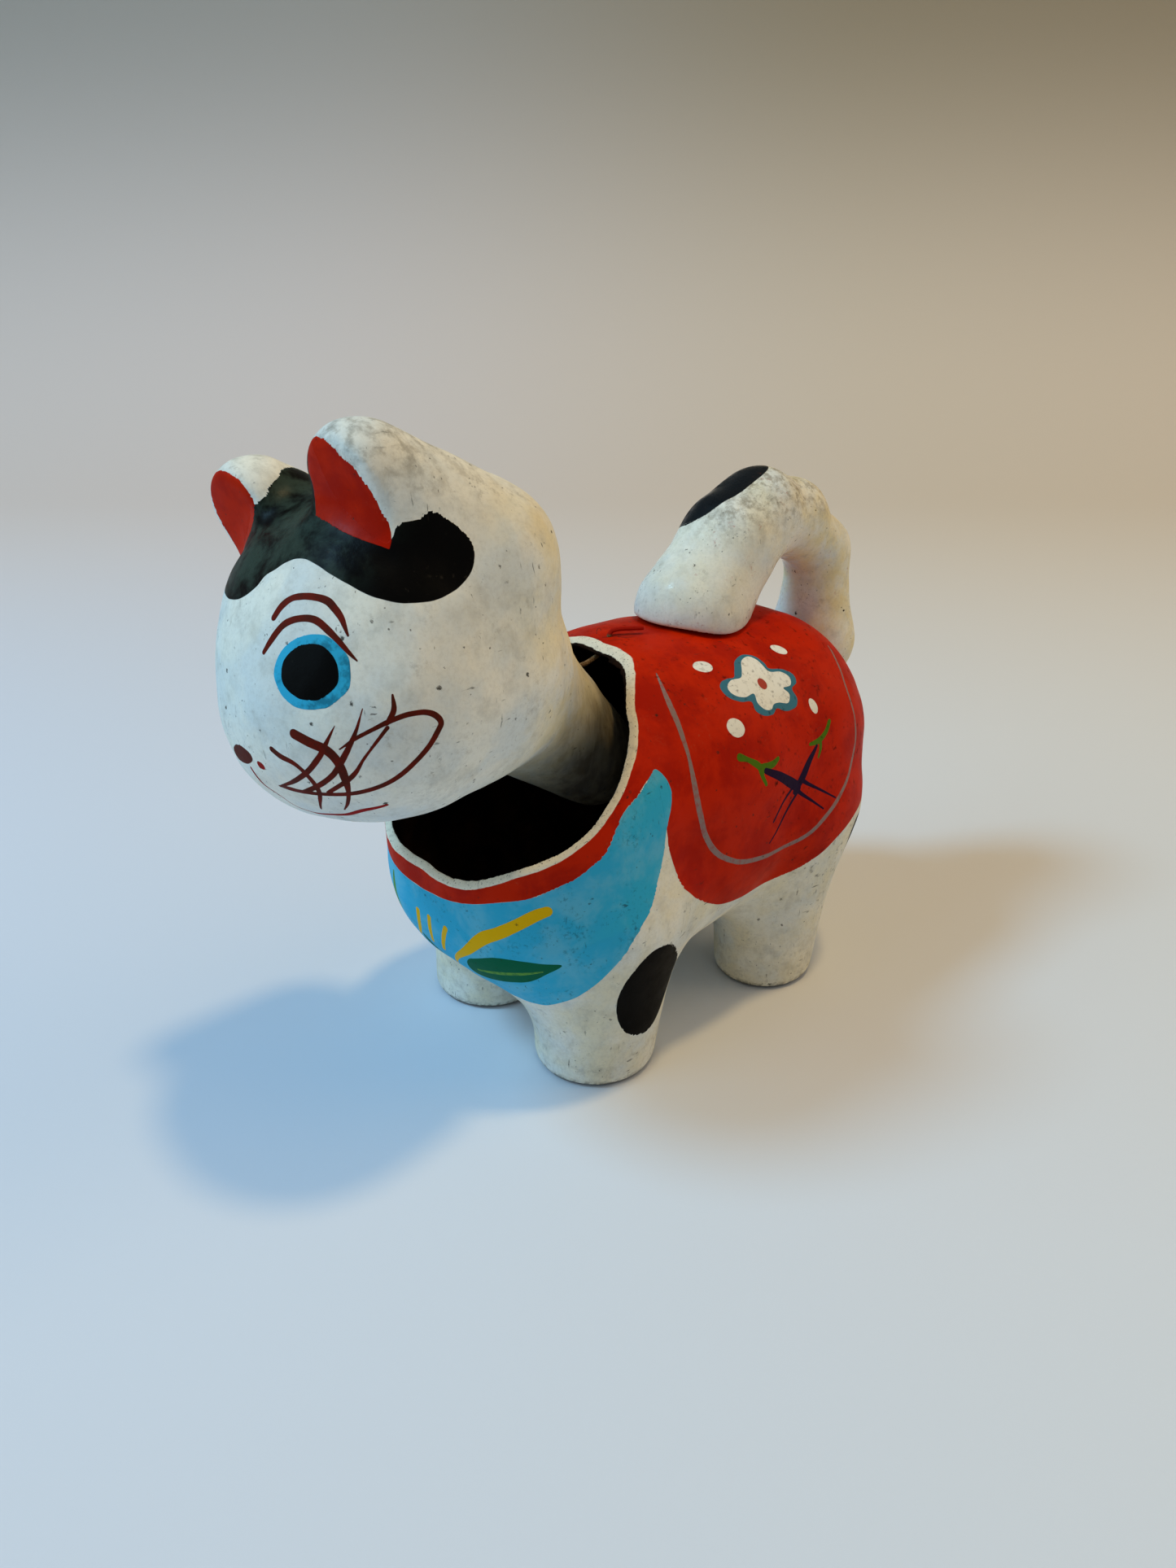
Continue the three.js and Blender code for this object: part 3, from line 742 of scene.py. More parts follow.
WHISKERS = [
    [(0.6, -31.6, 0.18), (5, -32.6, 0.4), (9.6, -33.7, 0.36), (20.1, -35.2, 0.32), (28.3, -35.9, 0.34),
     (36.9, -35.3, 0.34), (45, -33.7, 0.34), (52.2, -30.3, 0.34), (57.6, -26.3, 0.34),
     (61.4, -22.2, 0.36), (62.4, -20.2, 0.36), (60.9, -17.7, 0.36), (57.8, -16.1, 0.32),
     (53, -15.6, 0.3), (48.1, -16.2, 0.3), (43.2, -17.4, 0.24), (37.7, -19, 0.22), (32.4, -21.1, 0.1)],
    [(50.4, -9.5, 0.12), (49.9, -13.5, 0.32), (47.4, -16.5, 0.26)],
    [(47.1, -17.8, 0.24), (38.6, -24.7, 0.16), (32.5, -29.9, 0.3), (21.2, -34.6, 0.28)],
    [(20.2, -15.2, 0.6), (24.4, -17.8, 0.6), (28.6, -20.8, 0.6), (30.4, -25, 0.55),
     (30, -30.1, 0.5), (28.4, -35.2, 0.28), (24.7, -40, 0.22), (20.5, -43.2, 0.1)],
    [(9.6, -19, 0.4), (11.9, -20.9, 0.42), (16, -23.3, 0.36), (18.1, -26.8, 0.34),
     (18.6, -31.4, 0.36), (16.7, -35.6, 0.3), (10, -42.1, 0.1)],
    [(33.1, -14.6, 0.06), (29.4, -18.6, 0.24), (25.7, -22.2, 0.34), (19.1, -26.4, 0.34),
     (10, -29.8, 0.3), (0.6, -31.8, 0.15)],
    [(41.7, -11.5, 0.06), (38.1, -17.5, 0.22), (32.7, -23.6, 0.36), (26.8, -28.5, 0.34),
     (18.9, -31.8, 0.36), (11.6, -33.7, 0.3)],
]


def disc(canvas, points, angles, half_long, half_short, lean):
    """An oval dab whose long way leans up by so many degrees as it goes to the cat's rear"""
    centre = canvas.spots([angles])[0]
    lean = math.radians(lean)
    own = (centre - canvas.centre)[None]
    normal = slope_of(canvas.form, own, canvas.form(own))[0]
    rearward = np.array([0, 1, 0]) - normal * normal[1]
    rearward /= np.linalg.norm(rearward)
    upward = np.cross(normal, rearward)
    upward *= np.sign(upward[2])
    long_way = math.cos(lean) * rearward - math.sin(lean) * upward
    short_way = np.cross(normal, long_way)
    offset = points - centre
    round_off = np.hypot(offset @ long_way / half_long, offset @ short_way / half_short)
    return np.minimum((round_off - 1) * half_short + 3 * (np.abs(offset @ normal) > 4), 4)


def red_area(points):
    """The red of collar and saddle: all above one line round the body"""
    left = COLLAR[:-1] + [COLLAR_TO_SADDLE] + SADDLE
    line = np.concatenate([flowing(across(left)[::-1], False), flowing(left, False)[1:]])
    outline = np.concatenate([line, [(180, 400), (-180, 400)]])
    outline[0, 0] = -181
    outline[len(line) - 1, 0] = 181
    edge = near_line(points, BODY_CANVAS.spots(line), np.zeros(len(line)))
    return np.where(within(BODY_CANVAS.angles(points), outline), -edge, edge)


def body_marks(points):
    canvas = BODY_CANVAS
    bib = COLLAR + BIB_SIDE[1:]
    dots = []
    for (turn, rise), half_long, half_short, lean in DOTS:
        for side in (1, -1):
            sizes = (half_long * DOT_SHARE, half_short * DOT_SHARE)
            dots.append(disc(canvas, points, (side * turn, rise), *sizes, lean))
    turn, rise, radius = FLOWER_HEART
    hearts = [disc(canvas, points, (side * turn, rise), radius, radius, 0) for side in (1, -1)]
    leaves = patches(canvas, points, both_sides([LEAF], BIB_MIDDLE))
    petals = patches(canvas, points, both_sides([PETALS]))
    along = (points - opening_front) @ uphill
    thin_rim = THIN_RIM * np.clip((along - THIN_RIM_FROM) / (THIN_RIM_FULL - THIN_RIM_FROM), 0, 1)
    marks = {
        "depth": -body_form(points) - body_lumps(points) + thin_rim,
        "opening": above_cut(points),
        "red": red_area(points),
        "blue": patches(canvas, points, [bib + across(bib[:0:-1])]),
        "black": patches(canvas, points, [LEG_SPOT, *both_sides([REAR_SPOT])]),
        "flower_back": patches(canvas, points, both_sides([FLOWER_BACK])),
        "white": np.min([petals, *dots], 0),
        "heart": np.min(hearts, 0),
        "leaf": np.minimum(leaves, strokes(canvas, points, [SMALL_LEAF])),
    }
    for name, marks_list, brush in (
        ("yellow", YELLOWS + [across(YELLOWS[0], BIB_MIDDLE)], BIB_BRUSH),
        ("vein", both_sides([LEAF_VEIN], BIB_MIDDLE) + [SIDE_LEAF], BIB_BRUSH),
        ("thread_mark", THREAD_SHADE_MARKS, 1),
        ("silver", both_sides([SILVER]), SILVER_BRUSH),
        ("green", both_sides(GREENS), GREEN_BRUSH),
        ("purple", both_sides(TWIGS), TWIG_BRUSH),
    ):
        marks[name] = strokes(canvas, points, marks_list, brush)
    return marks


def head_marks(points):
    canvas = HEAD_CANVAS
    own = to_head(points)
    brown = both_sides(BROWS + WHISKERS, FACE_MIDDLE)
    return {
        "depth": -head_form(own) - head_lumps(own),
        "black": patches(canvas, points, [CAP]),
        "ear": patches(canvas, points, [LEFT_EAR, RIGHT_EAR], False),
        "blue": patches(canvas, points, both_sides([IRIS], FACE_MIDDLE)),
        "pupil": patches(canvas, points, both_sides([PUPIL], FACE_MIDDLE)),
        "brown": strokes(canvas, points, brown, FACE_BRUSH),
        "nose": patches(canvas, points, [NOSE]),
        "lips": strokes(canvas, points, [*LIPS, NOSE_DOT, across(LIPS[1], FACE_MIDDLE)], FACE_BRUSH),
    }


ABOVE_ALL = 130.0
TAIL_PATCH_RISE = 14
TAIL_PATCH = [
    (-8.5, 24), (-7.5, 21), (-3.5, 19.4), (0.6, 20.9), (2.7, 25.2), (3.2, 29.8), (3.4, 34.3),
    (2.3, 37.4), (0.4, 38.9), (-3, 38), (-7, 34.5), (-8.8, 29),
]


def tail_marks(points):
    outline = flowing(TAIL_PATCH, True)
    above = np.column_stack([outline, np.full(len(outline), ABOVE_ALL)])
    line = onto(tail_shell, reach(tail_form, above, (0, 0, -1)), 0.5)
    edge = near_line(points, np.concatenate([line, line[:1]]), np.zeros(len(line) + 1))
    inside = within(points[:, :2], outline) & (points[:, 2] > back_top + TAIL_PATCH_RISE)
    return {"black": np.where(inside, -edge, edge)}


# Materials
def linear(red, green, blue):
    """A colour from the values that a screen shows, 0 to 255"""
    parts = [part / 255 for part in (red, green, blue)]
    return (*[p / 12.92 if p <= 0.04045 else ((p + 0.055) / 1.055) ** 2.4 for p in parts], 1)


class Finish:
    """One material and the nodes that make its colour, roughness and bump"""

    def __init__(self, name):
        self.material = bpy.data.materials.new(name)
        self.material.use_nodes = True
        self.tree = self.material.node_tree
        self.tree.nodes.clear()
        self.shader = self.tree.nodes.new("ShaderNodeBsdfPrincipled")
        output = self.tree.nodes.new("ShaderNodeOutputMaterial")
        self.link(self.shader.outputs[0], output.inputs["Surface"])
        place = self.tree.nodes.new("ShaderNodeTexCoord").outputs["Object"]
        self.place = self.vector("SCALE", place, scale=1000)

    def link(self, source, socket):
        if hasattr(source, "is_output"):
            self.tree.links.new(source, socket)
        else:
            socket.default_value = source

    def vector(self, operation, a, b=None, scale=None):
        node = self.tree.nodes.new("ShaderNodeVectorMath")
        node.operation = operation
        self.link(a, node.inputs[0])
        if b is not None:
            self.link(b, node.inputs[1])
        if scale is not None:
            self.link(scale, node.inputs["Scale"])
        return node.outputs[0]

    def sum(self, operation, a, b=0.0, c=0.0):
        node = self.tree.nodes.new("ShaderNodeMath")
        node.operation = operation
        for value, socket in zip((a, b, c), node.inputs):
            self.link(value, socket)
        return node.outputs[0]

    def kept(self, name):
        node = self.tree.nodes.new("ShaderNodeAttribute")
        node.attribute_name = name
        return node.outputs["Fac"]

    def noise(self, size, detail=2.0, roughness=0.5, distortion=0.0, offset=0.0, stretch=None):
        """Noise whose spots are about so many millimetres across"""
        node = self.tree.nodes.new("ShaderNodeTexNoise")
        place = self.vector("ADD", self.place, (offset, offset * 1.7, offset * 0.6))
        if stretch:
            place = self.vector("MULTIPLY", place, stretch)
        self.link(place, node.inputs["Vector"])
        node.inputs["Scale"].default_value = 1 / size
        node.inputs["Detail"].default_value = detail
        node.inputs["Roughness"].default_value = roughness
        node.inputs["Distortion"].default_value = distortion
        return node.outputs["Fac"]

    def cells(self, size, offset):
        """Random cells: how far the middle of each is, and a random colour for each"""
        node = self.tree.nodes.new("ShaderNodeTexVoronoi")
        self.link(self.vector("ADD", self.place, (offset, offset, offset)), node.inputs["Vector"])
        node.inputs["Scale"].default_value = 1 / size
        return node.outputs["Distance"], node.outputs["Color"]

    def ramp(self, value, low, high, to_low=0.0, to_high=1.0):
        node = self.tree.nodes.new("ShaderNodeMapRange")
        node.interpolation_type = "SMOOTHSTEP"
        self.link(value, node.inputs["Value"])
        ends = {"From Min": low, "From Max": high, "To Min": to_low, "To Max": to_high}
        for socket, number in ends.items():
            node.inputs[socket].default_value = number
        return node.outputs["Result"]

    def mix(self, share, a, b):
        node = self.tree.nodes.new("ShaderNodeMix")
        node.data_type = "RGBA"
        self.link(share, node.inputs["Factor"])
        self.link(a, node.inputs["A"])
        self.link(b, node.inputs["B"])
        return node.outputs["Result"]

    def lay(self, share, paint):
        """Lays a paint over the colour so far"""
        self.colour = self.mix(share, self.colour, paint)

    def bump(self, heights):
        """Stacks bumps, each a height field and its depth in millimetres"""
        normal = None
        for height, depth in heights:
            node = self.tree.nodes.new("ShaderNodeBump")
            node.inputs["Strength"].default_value = 1.0
            node.inputs["Distance"].default_value = depth / 1000
            self.link(height, node.inputs["Height"])
            if normal is not None:
                self.link(normal, node.inputs["Normal"])
            normal = node.outputs["Normal"]
        return normal

    def product(self, *values):
        result = values[0]
        for value in values[1:]:
            result = self.sum("MULTIPLY", result, value)
        return result

    def blots(self, size, low, high, most=1.0, offset=0.0, detail=4.0, roughness=0.65, stretch=None):
        """Uneven blots, 0 to most: more of them where low and high are low"""
        cloud = self.noise(size, detail, roughness, 0.2, offset, stretch)
        return self.ramp(cloud, low, high, 0, most)

    def shared_blots(self, *kinds):
        """Where several kinds of blots meet, each given by its values for blots"""
        return self.product(*[self.blots(*values) for values in kinds])

    def axes(self):
        """The place in millimetres, as three sockets"""
        node = self.tree.nodes.new("ShaderNodeSeparateXYZ")
        self.link(self.place, node.inputs[0])
        return node.outputs

    def along(self, way):
        """How far a place is along a way, in millimetres"""
        node = self.tree.nodes.new("ShaderNodeVectorMath")
        node.operation = "DOT_PRODUCT"
        self.link(self.place, node.inputs[0])
        node.inputs[1].default_value = way
        return node.outputs["Value"]

    def finish(self, roughness, normal, shine):
        self.link(self.colour, self.shader.inputs["Base Color"])
        self.link(roughness, self.shader.inputs["Roughness"])
        self.link(normal, self.shader.inputs["Normal"])
        self.shader.inputs["Specular IOR Level"].default_value = shine
        return self.material


CHALK = linear(236, 236, 226)
CHALK_COOL = linear(220, 226, 224)
CHALK_YELLOW = linear(228, 214, 166)
GREY_WEAR = linear(150, 148, 136)
DIRT = linear(118, 110, 92)
SOOT = linear(38, 34, 28)
RED = linear(192, 34, 0)
RED_DARK = linear(164, 20, 0)
RED_WORN = linear(178, 66, 40)
BLUE = linear(50, 172, 212)
BLUE_LIGHT = linear(112, 190, 214)
BLUE_DARK = linear(16, 74, 92)
BLACK = linear(4, 4, 4)
# A lighter grey-green: painted sheen on the black cap
BLACK_PAINTED_SHEEN = linear(50, 64, 56)
LINE_BROWN = linear(104, 24, 10)
LINE_DARK = linear(78, 26, 14)
LIP_RED = linear(142, 16, 8)
NOSE_BROWN = linear(84, 26, 14)
LEAF_GREEN = linear(0, 94, 64)
VEIN_GREEN = linear(96, 150, 62)
YELLOW = linear(226, 178, 6)
SILVER_GREY = linear(140, 122, 120)
PURPLE = linear(30, 8, 44)
ARROW_GREEN = linear(74, 112, 14)
PETAL_SHADE = linear(58, 116, 138)
HEART_PINK = linear(170, 66, 54)
PAPER_BROWN = linear(40, 22, 10)
PAPER_DARK = linear(8, 4, 2)
THREAD_BROWN = linear(138, 112, 78)
THREAD_DARK = linear(74, 52, 32)
CUT_PAPER = linear(232, 226, 206)
TOP_DIRT = linear(92, 84, 66)
# Two tones of streaks for the painted shadow of the head on the neck
NECK_SHADE_GRIME = linear(150, 142, 118)
NECK_SHADE_GRIME_DARK = linear(86, 74, 54)
TAIL_WEAR = linear(116, 104, 80)
TAIL_BLACK = linear(20, 24, 28)
RED_RUB = linear(166, 84, 66)


def chalk_white(finish, age):
    """Worn chalk paint. Age is a socket or number, 0 fresh to 1 yellowed"""
    finish.colour = finish.mix(finish.blots(16, 0.4, 0.62, 1, 0, 3), CHALK, CHALK_COOL)
    finish.lay(finish.product(finish.blots(11, 0.3, 0.7, 1, 31), age), CHALK_YELLOW)
    finish.lay(finish.blots(5, 0.48, 0.74, 0.3, 7, 5, 0.6), GREY_WEAR)
    finish.lay(finish.blots(0.7, 0.4, 0.75, 0.16, 59, 3), GREY_WEAR)
    finish.lay(finish.shared_blots((7, 0.5, 0.7, 1, 53), (1.3, 0.48, 0.7, 0.4, 11, 5, 0.7)), DIRT)


def specks(finish, size, share, radius, offset):
    """Small dark dabs: a share of random cells hold one"""
    distance, tint = finish.cells(size, offset)
    node = finish.tree.nodes.new("ShaderNodeSeparateColor")
    finish.link(tint, node.inputs[0])
    chosen = finish.ramp(node.outputs[0], share, share - 0.02)
    rough = finish.sum("ADD", distance, finish.product(finish.noise(size / 3, 3, 0.7), 0.5))
    return finish.product(chosen, finish.ramp(rough, radius + 0.3, radius + 0.2))


# Specks as (size of the cells, share that hold one, radius, strength, offset), and how far
# scratches are drawn out along each axis
SPECKS = ((3.4, 0.5, 0.06, 0.9, 3), (1.6, 0.36, 0.06, 0.75, 8))
SCRATCH_STRETCHES = ((1, 0.16, 0.9), (0.9, 1, 0.14))


def weathered(finish, amount):
    """Specks of two sizes and short dark scratches over all the paint"""
    for size, share, radius, strength, offset in SPECKS:
        dabs = specks(finish, size, share, radius, offset)
        finish.lay(finish.product(dabs, strength * amount), SOOT)
    for number, stretch in enumerate(SCRATCH_STRETCHES):
        scratch = finish.shared_blots(
            (0.6, 0.66, 0.74, 1, 21 + number, 2, 0.5, stretch), (6, 0.52, 0.62, amount, 26 + number)
        )
        finish.lay(finish.product(scratch, 0.7), SOOT)


def wobbled(finish, field, size=3.0, amount=0.1, offset=0.0):
    """A painted edge that a hand made: its distance moved a little by noise"""
    shake = finish.sum("SUBTRACT", finish.noise(size, 1.5, 0.5, offset=offset), 0.5)
    return finish.sum("MULTIPLY_ADD", shake, 2 * amount, field)


def coat(finish, edge, paint, softness=0.06):
    """Lays a paint where an edge distance is below zero, and gives its mask"""
    mask = finish.ramp(edge, softness, -softness)
    finish.lay(mask, paint)
    return mask


def red_paint(finish, offset):
    """Brushed red: darker where it is thick, rubbed pale in small places"""
    red = finish.mix(finish.blots(9, 0.4, 0.66, 0.9, offset), RED, RED_DARK)
    rubbed = finish.shared_blots(
        (8, 0.55, 0.68, 1, offset + 4), (0.8, 0.52, 0.7, 0.6, offset + 6, 5, 0.75)
    )
    return finish.mix(rubbed, red, RED_WORN)


def blue_paint(finish, offset):
    """Thin blue over the white, with dark smudges"""
    blue = finish.mix(finish.blots(10, 0.42, 0.66, 0.55, offset), BLUE, BLUE_LIGHT)
    smudge = finish.shared_blots(
        (6, 0.46, 0.62, 1, offset + 2), (0.9, 0.5, 0.68, 0.5, offset + 3, 5, 0.75)
    )
    return finish.mix(smudge, blue, BLUE_DARK)


def coats(finish, layers):
    """Lays paints over one another, each a kept mark, a paint and how much its edge shakes"""
    masks = []
    for index, (name, paint, shake) in enumerate(layers):
        edge = wobbled(finish, finish.kept(name), 1.6, shake, 10 + index)
        masks.append(coat(finish, edge, paint, 0.05))
    return masks


def relief(finish, masks):
    """The paper's grain and felt, and the thickness of each paint"""
    heights = [(finish.noise(2.4, 4, 0.55, offset=17), 0.06), (finish.noise(0.45, 3, 0.6), 0.02)]
    return finish.bump(heights + [(mask, 0.035) for mask in masks])


def body_paint():
    finish = Finish("body_paint")
    height = finish.axes()[2]
    chalk_white(finish, 0.5)
    leg_dirt = finish.blots(2.2, 0.46, 0.72, 0.3, 71, 4, 0.65)
    finish.lay(finish.product(leg_dirt, finish.ramp(height, 20, 2)), DIRT)
    # Blotchy darkening over the lowest 2 mm of the soles, where they meet the floor
    sole_darkening = finish.blots(1.4, 0.42, 0.56, 0.85, 77)
    finish.lay(finish.product(finish.ramp(height, 2.2, 0.3), sole_darkening), SOOT)
    red_mask = coat(finish, wobbled(finish, finish.kept("red")), red_paint(finish, 5))
    blue_mask = coat(finish, wobbled(finish, finish.kept("blue"), 3, 0.12, 4), blue_paint(finish, 9))
    silver = finish.mix(finish.blots(1.2, 0.45, 0.7, 0.45, 41), SILVER_GREY, RED_DARK)
    petals = finish.mix(finish.blots(1.3, 0.5, 0.72, 0.4, 43), CHALK, GREY_WEAR)
    vein = finish.mix(finish.blots(0.9, 0.4, 0.7, 0.6, 49), VEIN_GREEN, LEAF_GREEN)
    masks = coats(finish, (
        ("black", BLACK, 0.09), ("flower_back", PETAL_SHADE, 0.09), ("white", petals, 0.07),
        ("heart", HEART_PINK, 0.05), ("silver", silver, 0.07), ("green", ARROW_GREEN, 0.06),
        ("purple", PURPLE, 0.04), ("yellow", YELLOW, 0.05), ("leaf", LEAF_GREEN, 0.05),
        # The last coat is painted shade along the thread under the red paint, with a faint bump
        ("vein", vein, 0.04), ("thread_mark", LINE_DARK, 0.03),
    ))
    weathered(finish, 0.9)

    # The pale cut of the opening, and the bare dark paper inside
    opening = finish.kept("opening")
    band = finish.mix(finish.blots(1.2, 0.5, 0.7, 0.25, 65), CUT_PAPER, DIRT)
    band = finish.mix(finish.blots(0.45, 0.62, 0.7, 0.7, 67, 2), band, SOOT)
    finish.lay(finish.ramp(wobbled(finish, opening, 1.5, 0.08, 69), -0.36, -0.28), band)
    under_cut = finish.ramp(opening, -0.5, -1.1, 0, 0.7)
    depth = wobbled(finish, finish.sum("ADD", finish.kept("depth"), under_cut), 1.2, 0.14, 73)
    inside = finish.ramp(depth, 1.32, 1.42)
    finish.lay(inside, finish.mix(finish.blots(9, 0.35, 0.7, 1, 61), PAPER_DARK, PAPER_BROWN))
    matt = finish.ramp(inside, 0, 1, 0.44, 0.72)
    roughness = finish.sum("ADD", finish.blots(6, 0.3, 0.7, 0.14, 80), matt)
    return finish.finish(roughness, relief(finish, [red_mask, blue_mask] + masks), 0.05)


def head_paint():
    finish = Finish("head_paint")
    x, y, height = finish.axes()
    chalk_white(finish, finish.ramp(y, -50, -22, 0.08, 0.9))
    top_dirt = finish.blots(2.8, 0.42, 0.68, 0.5, 19, 5, 0.65)
    finish.lay(finish.product(top_dirt, finish.ramp(height, 112, 127)), TOP_DIRT)
    # Painted shadow of the head on the neck: grey-brown streaks, darker lower down and further back
    neck = finish.product(finish.ramp(height, 92, 66), finish.ramp(y, -36, -16))
    streaks = finish.blots(4, 0.35, 0.65, 1, 23, stretch=(1, 1, 0.3))
    finish.lay(finish.product(neck, 0.85), finish.mix(streaks, NECK_SHADE_GRIME, NECK_SHADE_GRIME_DARK))

    # Painted sheen: towards the front, the black cap is mixed in blots with a lighter grey-green in
    # place of a reflection of the cool light
    front = finish.product(finish.ramp(x, 20, 10), finish.blots(6, 0.36, 0.62, 0.9, 29))
    black = finish.mix(front, BLACK, BLACK_PAINTED_SHEEN)
    black_mask = coat(finish, wobbled(finish, finish.kept("black"), 3, 0.12), black)
    red_mask = coat(finish, wobbled(finish, finish.kept("ear"), 3, 0.1, 5), red_paint(finish, 33))
    brown = finish.mix(finish.blots(3, 0.35, 0.65, 1, 36, 3), LINE_BROWN, LINE_DARK)
    iris = finish.mix(finish.blots(3, 0.45, 0.65, 0.6, 38), BLUE, BLUE_DARK)
    masks = coats(finish, (
        ("blue", iris, 0.08), ("pupil", BLACK, 0.08), ("brown", brown, 0.05),
        ("nose", NOSE_BROWN, 0.06), ("lips", LIP_RED, 0.04),
    ))
    weathered(finish, 1)
    finish.lay(finish.ramp(finish.kept("depth"), 0.9, 1.3), PAPER_BROWN)
    shine = finish.ramp(finish.sum("MAXIMUM", black_mask, masks[1]), 0, 1, 0.52, 0.34)
    roughness = finish.sum("ADD", finish.blots(7, 0.3, 0.7, 0.14, 82), shine)
    return finish.finish(roughness, relief(finish, [black_mask, red_mask] + masks), 0.06)


def tail_paint():
    finish = Finish("tail_paint")
    _, y, height = finish.axes()
    chalk_white(finish, finish.ramp(y, 30, 56, 0.3, 1.0))
    worn = finish.blots(2.4, 0.42, 0.66, 0.7, 19, 6, 0.75)
    finish.lay(finish.product(worn, finish.ramp(height, 94, 106)), TAIL_WEAR)
    mask = coat(finish, wobbled(finish, finish.kept("black"), 2, 0.08), TAIL_BLACK)
    finish.lay(finish.shared_blots((5, 0.58, 0.68, 1, 47), (0.9, 0.5, 0.7, 0.5, 48)), RED_RUB)
    weathered(finish, 1.1)
    return finish.finish(finish.blots(6, 0.3, 0.7, 0.66, 83), relief(finish, [mask]), 0.06)


def thread_finish():
    finish = Finish("thread")
    twist = finish.noise(0.35, 2, 0.5, 0.0, 0, (1, 1, 3))
    finish.colour = finish.mix(finish.ramp(twist, 0.35, 0.65), THREAD_BROWN, THREAD_DARK)
    finish.lay(finish.ramp(finish.axes()[2], 80.6, 81.2), RED_DARK)
    return finish.finish(0.8, finish.bump([(twist, 0.08)]), 0.12)


# Pieces
def make_body():
    low = (-BODY_HALF_WIDTH - 5, opening_front[1] - 2, -1.2)
    high = (BODY_HALF_WIDTH + 5, RUMP_CENTRE[1] + RUMP_HALF[1] + 4, back_top + 3)
    piece = mesh_object("cat_body", *net(body_shell, low, high, BODY_SPACING))
    points = points_of(piece)
    hidden = (body_form(points) < -0.9 * WALL) & (above_opening(points) < -2.5)
    thin_out(piece, hidden, BODY_INSIDE_KEPT)
    thin_plain(piece, body_marks)
    halve_faces(piece, above_cut(points_of(piece)) > -CUT_BAND, body_shell)
    paint(piece, body_marks, body_shell, ("silver", "purple", "yellow", "vein", "thread_mark", "green"))
    piece.data.materials.append(body_paint())
    return piece


def make_head():
    low = np.minimum(-30, neck_end_in_head - 13)
    high = np.maximum((33, 33, 38), neck_end_in_head + 13)
    points, faces = net(head_shell, np.minimum(low, (-33, -33, -33)), high, HEAD_SPACING)
    piece = mesh_object("cat_head", points @ head_axes.T + head_centre, faces)
    own = to_head(points_of(piece))
    thin_out(piece, head_form(own) < -0.8 * WALL, HEAD_INSIDE_KEPT)
    thin_plain(piece, head_marks)
    paint(piece, head_marks, lambda points: head_shell(to_head(points)), ("brown", "lips"))
    piece.data.materials.append(head_paint())
    return piece


def make_tail():
    knots = np.array([knot for knot, _ in tail_path])
    low = knots.min(0) - 14
    high = knots.max(0) + 12
    piece = mesh_object("cat_tail", *net(tail_shell, low, high, TAIL_SPACING))
    paint(piece, tail_marks, tail_shell, ("black",))
    piece.data.materials.append(tail_paint())
    return piece


for piece, body, node, slot in (
    (make_body(), "body", "body", "body_paint"),
    (make_head(), "head", "head", "head_paint"),
    (make_tail(), "body", "tail", "tail_paint"),
):
    smooth(piece)
    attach(piece, body)
    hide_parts(node)

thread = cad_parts["neck_thread"]
thread.data.materials.clear()
thread.data.materials.append(thread_finish())

# Camera: where the photograph was taken from, by its place from the cat in millimetres
CAMERA_PLACE = (158.2, -154.1, 150)
CAMERA_TURN = math.radians(48)
CAMERA_DIP = math.radians(25)
FOCAL_LENGTH_PX = 1390
PHOTO_HEIGHT_PX = 1927
SENSOR = 36

camera_data = bpy.data.cameras.new("camera")
camera_data.sensor_width = SENSOR
camera_data.lens = SENSOR * FOCAL_LENGTH_PX / PHOTO_HEIGHT_PX
camera_data.clip_start = 0.01
camera = placed("camera", camera_data)
right = Vector((math.cos(CAMERA_TURN), math.sin(CAMERA_TURN), 0))
ahead_flat = Vector((-math.sin(CAMERA_TURN), math.cos(CAMERA_TURN), 0))
look = ahead_flat * math.cos(CAMERA_DIP) - Vector((0, 0, 1)) * math.sin(CAMERA_DIP)
camera_up = right.cross(look)
camera.matrix_world = Matrix.Translation((Vector(CAMERA_PLACE) + Vector(shift)) / 1000) @ Matrix(
    (right, camera_up, -look)
).transposed().to_4x4()
bpy.context.scene.camera = camera

# Floor: a sheet of pale card that curves up behind the cat. Its colour holds painted light and
# shade: cooler near and on the left, warmer far away and on the right, darker up the curve
SWEEP_NEAR = 0.9
SWEEP_FAR = 0.55
SWEEP_RADIUS = 0.5
SWEEP_HEIGHT = 1.4
SWEEP_HALF_WIDTH = 2.2
# Card colours with painted light, near pair then far pair from the left to the right, then the painted
# shade of the rising part
CARD_TINTS_PAINTED_LIGHT = (
    ((0.64, 0.74, 0.91), (0.74, 0.77, 0.80)),
    ((0.76, 0.70, 0.69), (0.72, 0.65, 0.56)),
    ((0.37, 0.36, 0.34), (0.31, 0.27, 0.20)),
)


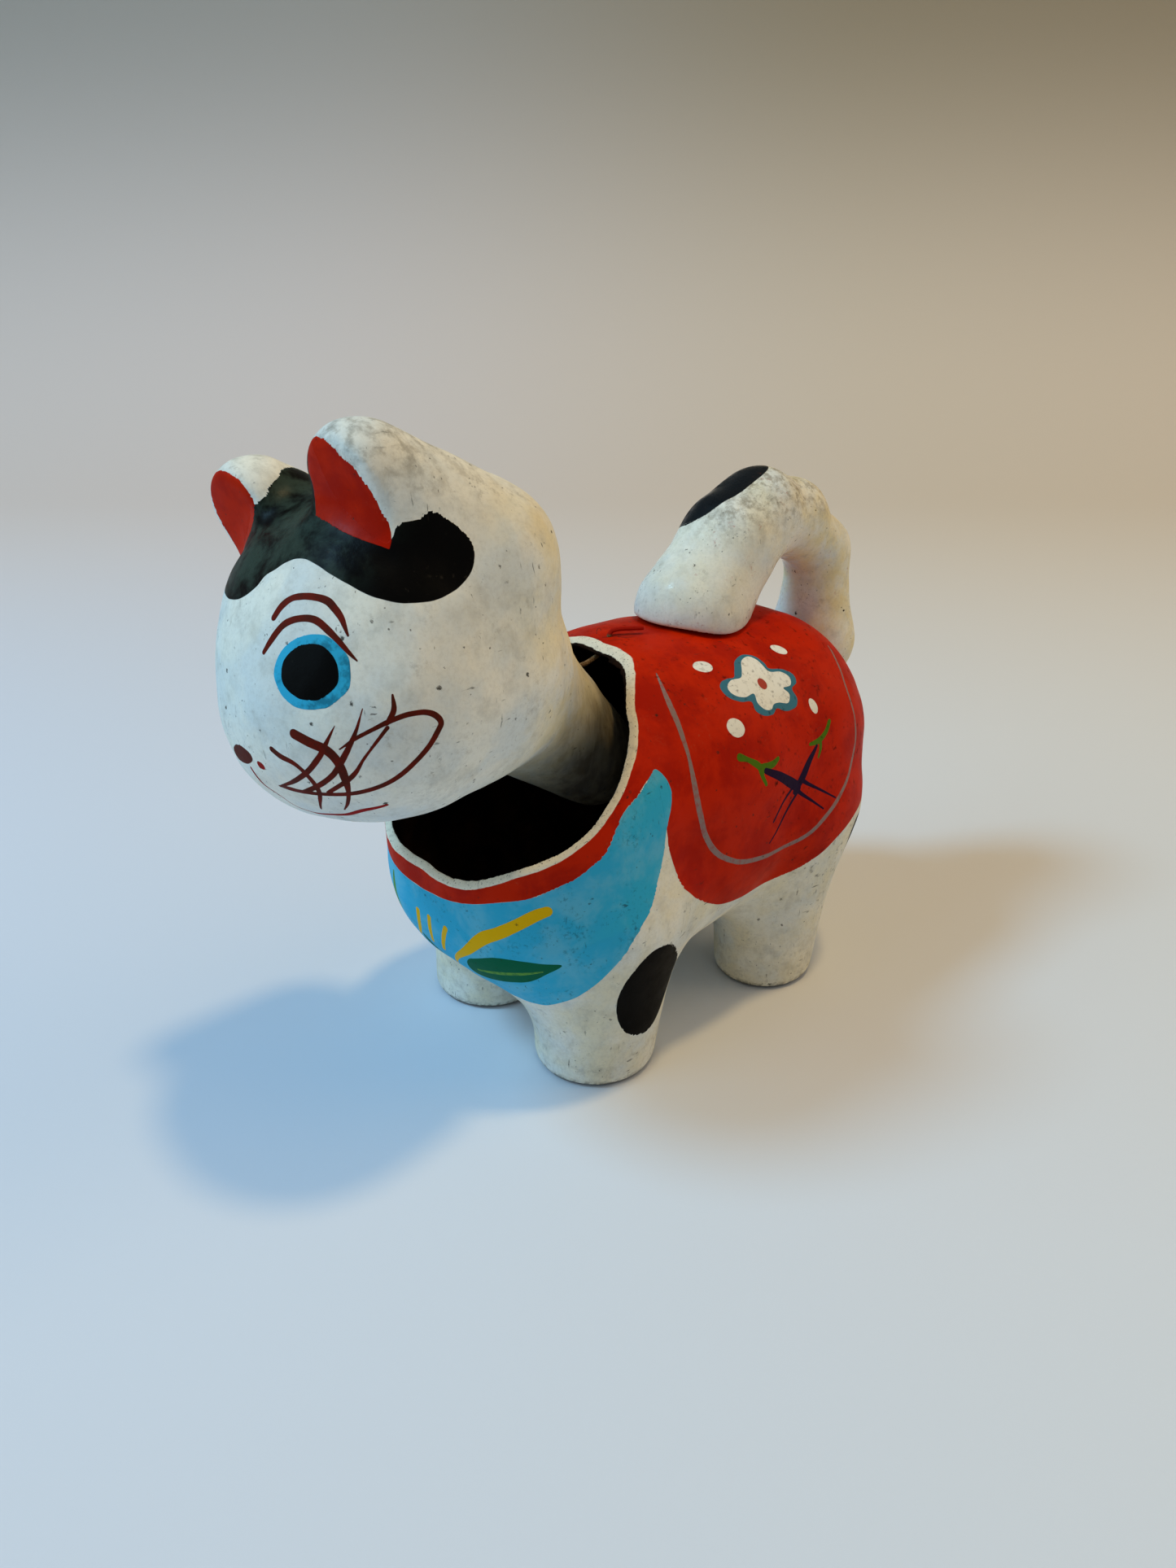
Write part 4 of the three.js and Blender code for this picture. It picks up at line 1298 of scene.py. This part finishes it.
def make_floor():
    profile = [(-SWEEP_NEAR, 0.0), (0.0, 0.0), (SWEEP_FAR, 0.0)]
    for step in range(1, 25):
        angle = step / 24 * math.pi / 2
        rise = SWEEP_RADIUS * (1 - math.cos(angle))
        profile.append((SWEEP_FAR + SWEEP_RADIUS * math.sin(angle), rise))
    profile.append((SWEEP_FAR + SWEEP_RADIUS, SWEEP_HEIGHT))
    mesh = bmesh.new()
    rows = []
    for along, height in profile:
        middle = ahead_flat * along + Vector((0, 0, height))
        sides = (-SWEEP_HALF_WIDTH, SWEEP_HALF_WIDTH)
        rows.append([mesh.verts.new(middle + right * side) for side in sides])
    for (a, b), (c, d) in zip(rows, rows[1:]):
        mesh.faces.new((a, b, d, c))
    data = bpy.data.meshes.new("floor")
    mesh.to_mesh(data)
    mesh.free()
    floor = placed("floor", data)
    smooth(floor)
    finish = Finish("floor_card")
    grain = finish.noise(1.2, 3, 0.6)
    side = finish.ramp(finish.along(right), -280, 280)
    tints = [[(*tint, 1) for tint in pair] for pair in CARD_TINTS_PAINTED_LIGHT]
    near, far, top_shade = (finish.mix(side, left, to_right) for left, to_right in tints)
    finish.colour = finish.mix(finish.ramp(finish.along(ahead_flat), -50, 600), near, far)
    # Painted shade: darker where the card rises behind the cat
    finish.lay(finish.ramp(finish.axes()[2], 30, 420), top_shade)
    data.materials.append(finish.finish(0.8, finish.bump([(grain, 0.02)]), 0.1))


make_floor()


def soft_light(name, turn, rise, distance, size, watts, colour):
    """A round light aimed at the cat. Turn is from straight ahead to the right, in degrees"""
    data = bpy.data.lights.new(name, "AREA")
    data.shape = "DISK"
    data.size = size
    data.energy = watts
    data.color = colour
    light = placed(name, data)
    turn, rise = math.radians(turn), math.radians(rise)
    level = right * math.sin(turn) + ahead_flat * math.cos(turn)
    way = level * math.cos(rise) + Vector((0, 0, math.sin(rise)))
    light.location = way * distance + Vector((0, 0, 0.05))
    light.rotation_euler = (-way).to_track_quat("-Z", "Y").to_euler()


soft_light("warm_window", 90, 79, 1.3, 0.13, 5.2, (1, 0.68, 0.3))
soft_light("cool_window", -100, 52, 1.3, 0.3, 7.5, (0.36, 0.72, 1))
soft_light("left_room", -110, 30, 1.8, 1.4, 8, (0.5, 0.8, 1))
soft_light("right_room", 80, 30, 1.8, 1.4, 7.5, (1, 0.72, 0.42))

world = bpy.data.worlds.new("room")
world.use_nodes = True
world.node_tree.nodes["Background"].inputs["Color"].default_value = (1, 0.97, 0.9, 1)
world.node_tree.nodes["Background"].inputs["Strength"].default_value = 0.23
bpy.context.scene.world = world
bpy.context.scene.view_settings.view_transform = "Standard"
